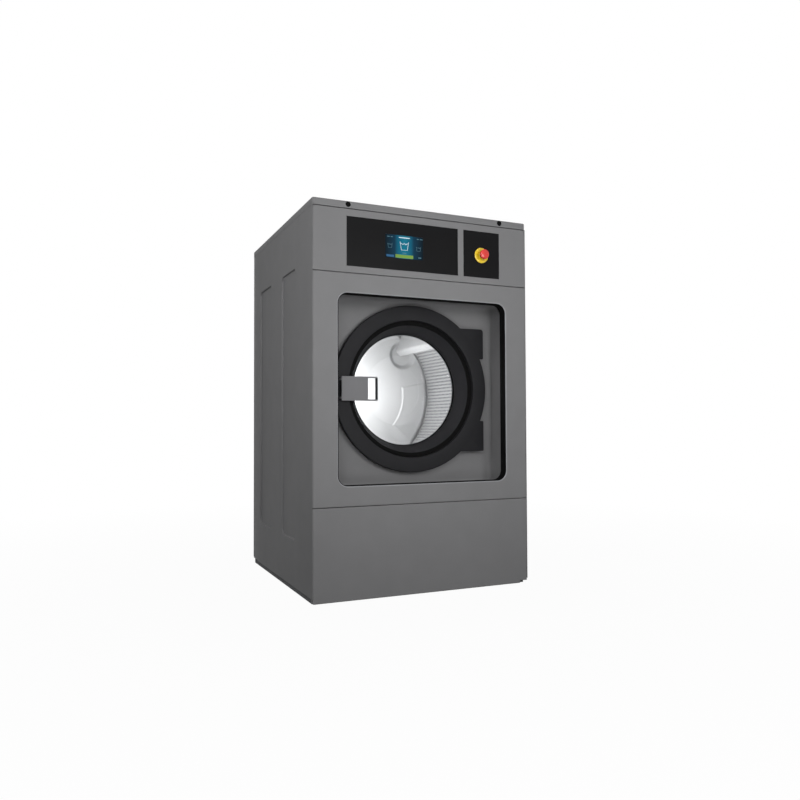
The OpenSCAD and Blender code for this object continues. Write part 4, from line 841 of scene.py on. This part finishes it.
class WASHER_OT_stop_button(Step, bpy.types.Operator):
    """Emergency stop: yellow disc and red mushroom with a ribbed skirt"""
    bl_idname = "washer.stop_button"
    bl_label = "Emergency stop"

    def execute(self, context):
        low, high = node_box("stop_disc")
        centre = tuple(((low + high) / 2)[[0, 2]])
        radius = (high[0] - low[0]) / 2 / MM
        disc = ring([(5.1, -2.6), (9.3, -2.6), (10.2, -2), (radius - 4, -2.6), (radius, -1.6),
                     (radius, 0.3), (5.1, 0.3)], [0, 0.3, 0.3, 1.0, 1.2, 0.2, 0], centre, 96)
        piece("stop_disc_turned", disc, "cabinet", "stop_yellow", "stop_disc")
        collar = ring([(5.1, -8), (9, -8), (9.6, -2.3), (5.1, -2.3)], [0, 0.6, 0, 0], centre, 64)
        piece("stop_collar", collar, "cabinet", "black_moulding")
        self.mushroom(centre)
        return {"FINISHED"}

    def mushroom(self, centre):
        """A dome, a rim whose radius ripples with the angle, a neck, and a blind bore for the plunger."""
        low, high = node_box("stop_cap")
        radius, top, back = (high[0] - low[0]) / 2, low[1] - FRONT_Y, high[1] - FRONT_Y
        dome_height, ribs, rib_depth, rib_start = 3.2 * MM, 24, 0.45 * MM, 0.93
        shoulder, crown, bore = radius * 0.86, top + dome_height, 5.1 * MM
        t = arc(0, 90, 9)
        dome = np.column_stack([shoulder * np.sin(t), top + dome_height * (1 - np.cos(t))])
        rim = rounded([(shoulder, crown), (radius, top + 4.2 * MM), (radius, top + 11 * MM),
                       (radius - 4 * MM, back), (bore, back), (bore, top + 6 * MM), (0, top + 6 * MM),
                       (0, crown)], np.array([0, 2.2, 2.5, 0.8, 0, 0, 0, 0]) * MM)[:-1]
        points = turned(np.concatenate([dome[:-1], rim]), centre, 96)
        across, up = points[..., 0] - centre[0], points[..., 2] - centre[1]
        reach = np.hypot(across, up)
        ripple = rib_depth * (0.5 + 0.5 * np.cos(ribs * np.arctan2(up, across)))
        grip = np.clip((reach - rib_start * radius) / ((1 - rib_start) * radius), 0, 1) * ripple
        scale = 1 - grip / np.maximum(reach, 1e-6)
        points[..., 0] = centre[0] + across * scale
        points[..., 2] = centre[1] + up * scale
        shell = Shell()
        shell.grid(points)
        piece("stop_mushroom", shell, "stop_cap", "stop_red", "stop_cap")


class WASHER_OT_door(Step, bpy.types.Operator):
    """Door cover with its hinge lugs, the seal, the gasket and the glass bowl"""
    bl_idname = "washer.door"
    bl_label = "Door"

    def execute(self, context):
        self.cover()
        self.glass()
        low, high = node_box("glass_gasket")
        outer = (high[0] - low[0]) / 2 / MM
        for name, node, profile, radii in (
                # The bead's black rubber on the step is painted shade: it stands for the shade that falls
                # there
                ("door_cover_shade_bead", None, [(248.4, 129.6), (265.4, 129.6), (265.4, 131.9), (248.4, 131.9)],
                 [1, 0.6, 0, 0]),
                ("glass_gasket_lipped", "glass_gasket",
                 [(219, 190.9), (222, 190.9), (outer, 191.2), (outer, 206.4), (219, 206.4), (219, 202.6),
                  (232, 202.6), (232, 194.4), (219, 194.4)], [1.4, 0.3, 0.5, 0.5, 1.4, 0, 0, 0, 0]),
                ("door_seal_lipped", "door_seal",
                 [(254, 142.4), (268, 142.4), (268, 160.2), (260.4, 160.2), (260.4, 150.1), (256.6, 150.1),
                  (256.6, 160.2), (254, 160.2)], [2.5, 3.5, 2, 0, 0, 0, 0, 0.8])):
            piece(name, ring(profile, radii), "door", "black_rubber", node)
        return {"FINISHED"}

    def cover(self):
        """The ring's section runs over a flat band, a small step that holds the black rubber bead (its black
        is painted shade in the step), and a straight funnel to the glass; the lugs are plates flush with the
        band, with a rounded outer edge, whose inner side follows the ring."""
        shell = ring([(323.5, 134), (323.5, 115), (266.5, 115), (265.5, 131.5), (248, 131.5), (223, 188),
                      (219.5, 189), (219.5, 191), (225, 191), (250.5, 133.5), (267.5, 133.5), (268.5, 118),
                      (320.5, 118), (320.5, 134)],
                     [0.5, 4, 1.5, 0.5, 2, 1.2, 0.8, 0.4, 0, 1.5, 0.5, 1.5, 2, 0.5], steps=240)
        edge = settings("door").lug_edge
        z_in, z_out, reach, join = 125 * MM, 246 * MM, 313 * MM, 316.5 * MM
        # The lugs' faces lie a hair behind the band's, so that the two don't share a plane
        face, rear = 115.05 * MM, 120 * MM
        for side in (-1, 1):
            t = np.linspace(math.asin(z_out / join), math.asin(z_in / join), 24)
            inner = np.column_stack([join * np.cos(t), join * np.sin(t)])
            far = rounded([inner[-1], (reach, z_in), (reach, z_out), inner[0]],
                          np.array([0, 4, 12 if side > 0 else 4, 0]) * MM, 8)
            outline = np.concatenate([inner[1:-1], far])
            outline[:, 1] = DOOR_Z + side * outline[:, 1]
            away = outline - outline.mean(0)
            away /= np.linalg.norm(away, axis=1)[:, None]
            # The side on the ring keeps its place, so that only the free sides are rounded
            away[:len(inner) - 2] = 0
            rows = [at_depth(outline - away * inset, face + back) for inset, back in bend(edge)]
            index = shell.grid([*rows, at_depth(outline, rear)])
            shell.fill(index[0])
            shell.fill(index[-1])
        piece("door_cover_moulded", shell, "door", "black_moulding", "door_cover")

    def glass(self):
        """A flange and a bowl whose wall narrows to a flat end, the inner side at the glass thickness."""
        shell = Shell()
        shell.grid(turned(rounded_mm(
            [(0, 299.5), (112, 299.5), (142, 287), (208, 202.5), (232, 202.5), (232, 194.5), (201, 194.5),
             (199, 200.5), (134, 281.5), (108, 291.5), (0, 291.5)],
            [0, 30, 42, 6, 2, 2, 3, 4, 34, 24, 0], 8)))
        piece("door_glass_bowl", shell, "door", "door_glass", "door_glass")


class WASHER_OT_handle(Step, bpy.types.Operator):
    """Handle plate with its window and the dark strip beside it"""
    bl_idname = "washer.handle"
    bl_label = "Handle plate"

    def execute(self, context):
        low, high = node_box("handle_plate")
        front = low[1] - FRONT_Y
        edge, thick, strip = 0.7 * MM, 3 * MM, 5.5 * MM
        window_low = np.array([high[0] - 39 * MM, low[2] + strip])
        window_high = np.array([high[0] - 2 * MM, high[2] - strip])
        # A quarter circle at the front edge and one at the back edge
        path = [(inset, front + back) for inset, back in bend(edge, 4)]
        path += [(inset, front + thick - back) for inset, back in bend(edge, 4)[::-1]]
        rows = carried(path, low[[0, 2]], high[[0, 2]], 2.5 * MM)
        rows += carried([(-inset, d) for inset, d in path[::-1]], window_low, window_high, 1 * MM)
        shell = Shell()
        shell.grid(rows, close_rows=True)
        piece("handle_plate_folded", shell, "handle", "handle_metal", "handle_plate")
        self.finger_edge(low, high, front)
        return {"FINISHED"}

    def finger_edge(self, low, high, front):
        """The dark strip over the window's outer side: a bevelled bar that stands just proud of the plate and
        runs back past it."""
        corner_low = np.array([high[0] - 8.5 * MM, low[2] + 5 * MM])
        corner_high = np.array([high[0] + 0.4 * MM, high[2] - 5 * MM])
        path = [(inset * MM, front + d * MM) for inset, d in ((0.4, -0.4), (0, 0), (0, 4), (0.7, 4.7))]
        shell = Shell()
        shell.cap(shell.grid(carried(path, corner_low, corner_high, 0.9 * MM)))
        piece("handle_finger_edge", shell, "handle", "black_moulding")


class WASHER_OT_drum(Step, bpy.types.Operator):
    """Perforated drum with its pressed back, rolled mouth and lifters"""
    bl_idname = "washer.drum"
    bl_label = "Drum"

    def execute(self, context):
        low, high = node_box("drum_shell")
        self.radius = (high[0] - low[0]) / 2 - SHEET
        self.front, self.back = low[1] - FRONT_Y, high[1] - FRONT_Y
        for name, shell, node in (("drum_shell_perforated", self.perforated_shell(), "drum_shell"),
                                  ("drum_front_beaded", self.mouth(), "drum_front"),
                                  ("drum_back_pressed", self.back_plate(), "drum_back")):
            piece(name, shell, "drum", "drum_steel", node)
        piece("drum_lifters_pressed", self.lifters(), "drum", "drum_steel", "drum_lifters", smooth=50)
        return {"FINISHED"}

    def perforated_shell(self):
        """A cylinder wall of cells, each with a six-sided hole through the sheet; every second row of holes
        is moved on by a quarter of the pitch. Plain margins close the wall at both ends."""
        drum = settings("drum")
        rows, pitch, hole = drum.hole_rows // 2 * 2, drum.hole_pitch, drum.hole_radius
        length, sheet = self.back - self.front, 0.8 * MM
        count = int((length - 2 * pitch) / pitch)
        start = self.front + (length - count * pitch) / 2
        step = 2 * math.pi / rows
        i, j = np.meshgrid(np.arange(rows), np.arange(count), indexing="ij")
        centre = start + (j + 0.5 + (i % 2) * 0.25 - 0.125) * pitch
        a = arc(-120, 180, 6)
        rim_angle = i[..., None] * step + hole * np.cos(a) / self.radius
        rim_depth = centre[..., None] - hole * np.sin(a)
        corner_angle = (i[..., None] + np.array([-0.5, 0.5, 0.5, -0.5])) * step
        corner_depth = start + (j[..., None] + np.array([0, 0, 1, 1])) * pitch
        angle = np.concatenate([corner_angle, rim_angle], -1)
        depth = np.concatenate([corner_depth, rim_depth], -1)
        points = np.stack([around(radius, angle, depth) for radius in (self.radius, self.radius + sheet)], -3)
        # A cell's corners are 0 to 3 and its rim 4 to 9; the same on the outer side is 10 further
        inner = np.array([(0, 1, 7), (0, 7, 8), (1, 6, 7), (1, 2, 6), (2, 5, 6), (2, 4, 5), (2, 3, 4),
                          (3, 9, 4), (3, 0, 9), (0, 8, 9)])
        k = np.arange(6)
        after = (k + 1) % 6
        walls = np.concatenate([np.stack([4 + k, 14 + after, 4 + after], -1),
                                np.stack([4 + k, 14 + k, 14 + after], -1)])
        cell = np.concatenate([inner, inner[:, ::-1] + 10, walls])
        shell = Shell()
        shell.add(points.reshape(-1, 3), (np.arange(rows * count)[:, None, None] * 20 + cell).reshape(-1, 3))
        angle = (np.arange(rows) - 0.5) * step
        for seam, end in ((start, self.front), (start + count * pitch, self.back)):
            loop = ((seam, 0), (end, 0), (end, sheet), (seam, sheet))
            shell.grid([around(self.radius + out, angle, d) for d, out in loop])
        return shell

    def mouth(self):
        """Front plate with a bead rolled round the mouth."""
        front, outer = self.front / MM, self.radius / MM + 2
        return ring([(240, front - 2), (outer, front - 2), (outer, front), (246, front), (243, front + 4),
                     (237.5, front + 3), (236.8, front + 0.5)], [1.5, 3, 0.5, 2, 1.5, 1.5, 1.5])

    def back_plate(self):
        """A disc whose inner face comes forward by a smooth step inside three ring sectors, with a ridge
        along their edges, and goes back in a pocket at each lifter; a hub and three cast arms carry it."""
        inner, outer, half_sector = 213 * MM, 338 * MM, math.radians(26)
        slope, raise_by, ridge = 8 * MM, 3 * MM, 0.5 * MM
        dish, groove, groove_width = 22 * MM, 345 * MM, 7 * MM
        pocket_reach, pocket, pocket_slope = 0.29, 44 * MM, 26 * MM
        r = np.concatenate([np.linspace(0, 196, 9), np.linspace(200, 226, 14), np.linspace(230, 334, 32),
                            np.linspace(337, 352.7, 14)]) * MM
        rr, aa = np.meshgrid(r, arc(0, 360, 721)[:-1], indexing="ij")
        raised = 0
        # The whole disc is dished forward, which leaves a narrow shadowed groove at the wall and a round
        # pocket at each lifter's foot
        t = (groove - rr) / groove_width
        for i in range(3):
            middle = math.radians(LIFTER_ANGLE - (i + 0.5) * THIRD)
            off = np.abs((aa - middle + math.pi) % (2 * math.pi) - math.pi)
            inside = np.minimum(np.minimum((half_sector - off) * rr, rr - inner), outer - rr)
            raised += (raise_by * smooth_step(inside / slope)
                       + ridge * np.exp(-((inside - slope) / (slope / 2)) ** 2))
            foot = math.radians(41 + THIRD * i)
            away = np.hypot(rr * np.cos(aa) - pocket_reach * math.cos(foot),
                            rr * np.sin(aa) - pocket_reach * math.sin(foot))
            t = np.minimum(t, (away - pocket) / pocket_slope)
        front = around(rr, aa, self.back - raised - dish * smooth_step(t))
        rear = self.back + 3 * MM
        rim = self.radius + SHEET
        shell = Shell()
        shell.grid(np.concatenate([front, turned([(rim, self.back), (rim, rear), (0, rear)], steps=720)]))
        rear = rear / MM
        hub = rounded_mm([(30.5, rear), (64, rear), (60, rear + 19), (30.5, rear + 19)], [0, 0, 4, 1])
        shell.grid(turned(hub, steps=72), close_rows=True)
        for i in range(3):
            angle = math.radians(90 + THIRD * i)
            x, z = math.cos(angle), math.sin(angle)
            along, across = np.array([(x, z), (-z, x)])
            rows = []
            for inset, d in ((0, 0), (1.5, 13), (3, 14.8), (6, 15)):
                flat = rect(np.array([52, -22]) * MM, np.array([348, 22]) * MM, inset * MM, 8 * MM)
                arm = flat[:, :1] * along + flat[:, 1:] * across + np.array([0, DOOR_Z])
                rows.append(at_depth(arm, (rear + d) * MM))
            shell.cap(shell.grid(rows))
        return shell

    def lifters(self):
        """A beam with flat flanks and a round crest. Towards each end its section sinks to the wall along a
        quarter ellipse, which makes a long nose at the front and a short one at the back."""
        height, half_foot, crest = 78 * MM, 48 * MM, 17 * MM
        # The gap in front of each lifter, and the gaps at both its ends together
        front_gap, gaps = 9 * MM, 14 * MM
        length = self.back - self.front - gaps
        front_nose, rear_nose = 62 * MM, 20 * MM
        ease = 1 - np.cos(arc(0, 90, 16))
        t = np.unique(np.concatenate([ease * front_nose, np.linspace(front_nose, length - rear_nose, 12),
                                      length - ease * rear_nose]))
        to_end = np.minimum(t / front_nose, (length - t) / rear_nose)
        rise = np.sqrt(np.clip(1 - (1 - np.clip(to_end, 0, 1)) ** 2, 0, 1))
        flare = rounded([(-half_foot, -3 * MM), (-half_foot, 0.5 * MM), (-crest, height), (crest, height),
                         (half_foot, 0.5 * MM), (half_foot, -3 * MM)],
                        np.array([0, 16, 15.5, 15.5, 16, 0]) * MM, 10)
        wide = flare[:, 0] * (0.35 + 0.65 * rise[:, None])
        tall = np.where(flare[:, 1] > 0, flare[:, 1] * rise[:, None], 0)
        reach = np.sqrt(np.maximum((self.radius - 0.3 * MM) ** 2 - wide ** 2, 0)) - tall
        shell = Shell()
        for i in range(3):
            angle = math.radians(LIFTER_ANGLE + THIRD * i)
            outward = np.array([math.cos(angle), 0, math.sin(angle)])
            across = np.array([-math.sin(angle), 0, math.cos(angle)])
            points = reach[..., None] * outward + wide[..., None] * across
            points[..., 1] += FRONT_Y + self.front + front_gap + t[:, None]
            points[..., 2] += DOOR_Z
            shell.cap(shell.grid(points))
        return shell


class WASHER_OT_soap_lid(Step, bpy.types.Operator):
    """Flap of the soap box, with rounded edges and a thumb dimple"""
    bl_idname = "washer.soap_lid"
    bl_label = "Soap flap"

    def execute(self, context):
        """The top sinks by a quarter circle at its edges and by a bell curve at the dimple, and the underside
        is flat."""
        low, high = node_box("soap_lid")
        crown, side = 1.4 * MM, 1 - np.cos(arc(0, 90, 7))
        near = [np.unique(np.concatenate([
            low[k] + side * crown, np.linspace(low[k] + 4 * MM, high[k] - 4 * MM, 60),
            high[k] - side * crown])) for k in (0, 1)]
        x, y = np.meshgrid(*near)
        edge = np.minimum(np.minimum(x - low[0], high[0] - x), np.minimum(y - low[1], high[1] - y))
        fall = crown * (1 - np.sqrt(1 - (1 - np.clip(edge / crown, 0, 1)) ** 2))
        # The dimple's half width and half length, its middle behind the front edge, and its depth
        half_width, half_length, middle, dimple = 26 * MM, 9 * MM, 20 * MM, 1.6 * MM
        thumb = np.hypot((x - (low[0] + high[0]) / 2) / half_width, (y - low[1] - middle) / half_length)
        upper = np.stack([x, y, high[2] - fall - dimple * np.exp(-thumb ** 4)], -1)
        lower = np.stack([x, y, np.full(x.shape, low[2])], -1)[:, ::-1]
        shell = Shell()
        shell.cap(shell.grid(np.concatenate([upper, lower], 1)))
        piece("soap_lid_dimpled", shell, "soap_lid", "grey_enamel", "soap_lid")
        return {"FINISHED"}


PIECES = (
    WASHER_OT_studio, WASHER_OT_finishes, WASHER_OT_side_panels, WASHER_OT_top_lid, WASHER_OT_front_panels,
    WASHER_OT_recess, WASHER_OT_display, WASHER_OT_stop_button, WASHER_OT_door, WASHER_OT_handle,
    WASHER_OT_drum, WASHER_OT_soap_lid,
)


class WASHER_PT_panel(bpy.types.Panel):
    """Lists the machine's pieces and their values"""
    bl_idname = "WASHER_PT_panel"
    bl_label = "Industrial washing machine"
    bl_space_type = "VIEW_3D"
    bl_region_type = "UI"
    bl_category = "Washer"

    def draw(self, context):
        for operator in PIECES:
            self.layout.operator(operator.bl_idname)
        for group in ("cabinet", "door", "drum", "controls", "studio"):
            box = self.layout.box()
            box.label(text=group.capitalize())
            values = settings(group)
            for name in values.bl_rna.properties.keys():
                if name not in ("rna_type", "name"):
                    box.prop(values, name)


CLASSES = (CabinetSettings, DoorSettings, DrumSettings, ControlSettings, StudioSettings, WasherSettings,
           *PIECES, WASHER_PT_panel)


def register():
    """Registers the classes and puts the values on the scene."""
    for cls in CLASSES:
        bpy.utils.register_class(cls)
    bpy.types.Scene.washer = PointerProperty(type=WasherSettings)


def unregister():
    """Takes the values and the classes away again."""
    del bpy.types.Scene.washer
    for cls in reversed(CLASSES):
        bpy.utils.unregister_class(cls)


def main():
    """Builds every piece in order."""
    register()
    for operator in PIECES:
        group, name = operator.bl_idname.split(".")
        getattr(getattr(bpy.ops, group), name)()


if __name__ == "__main__":
    main()
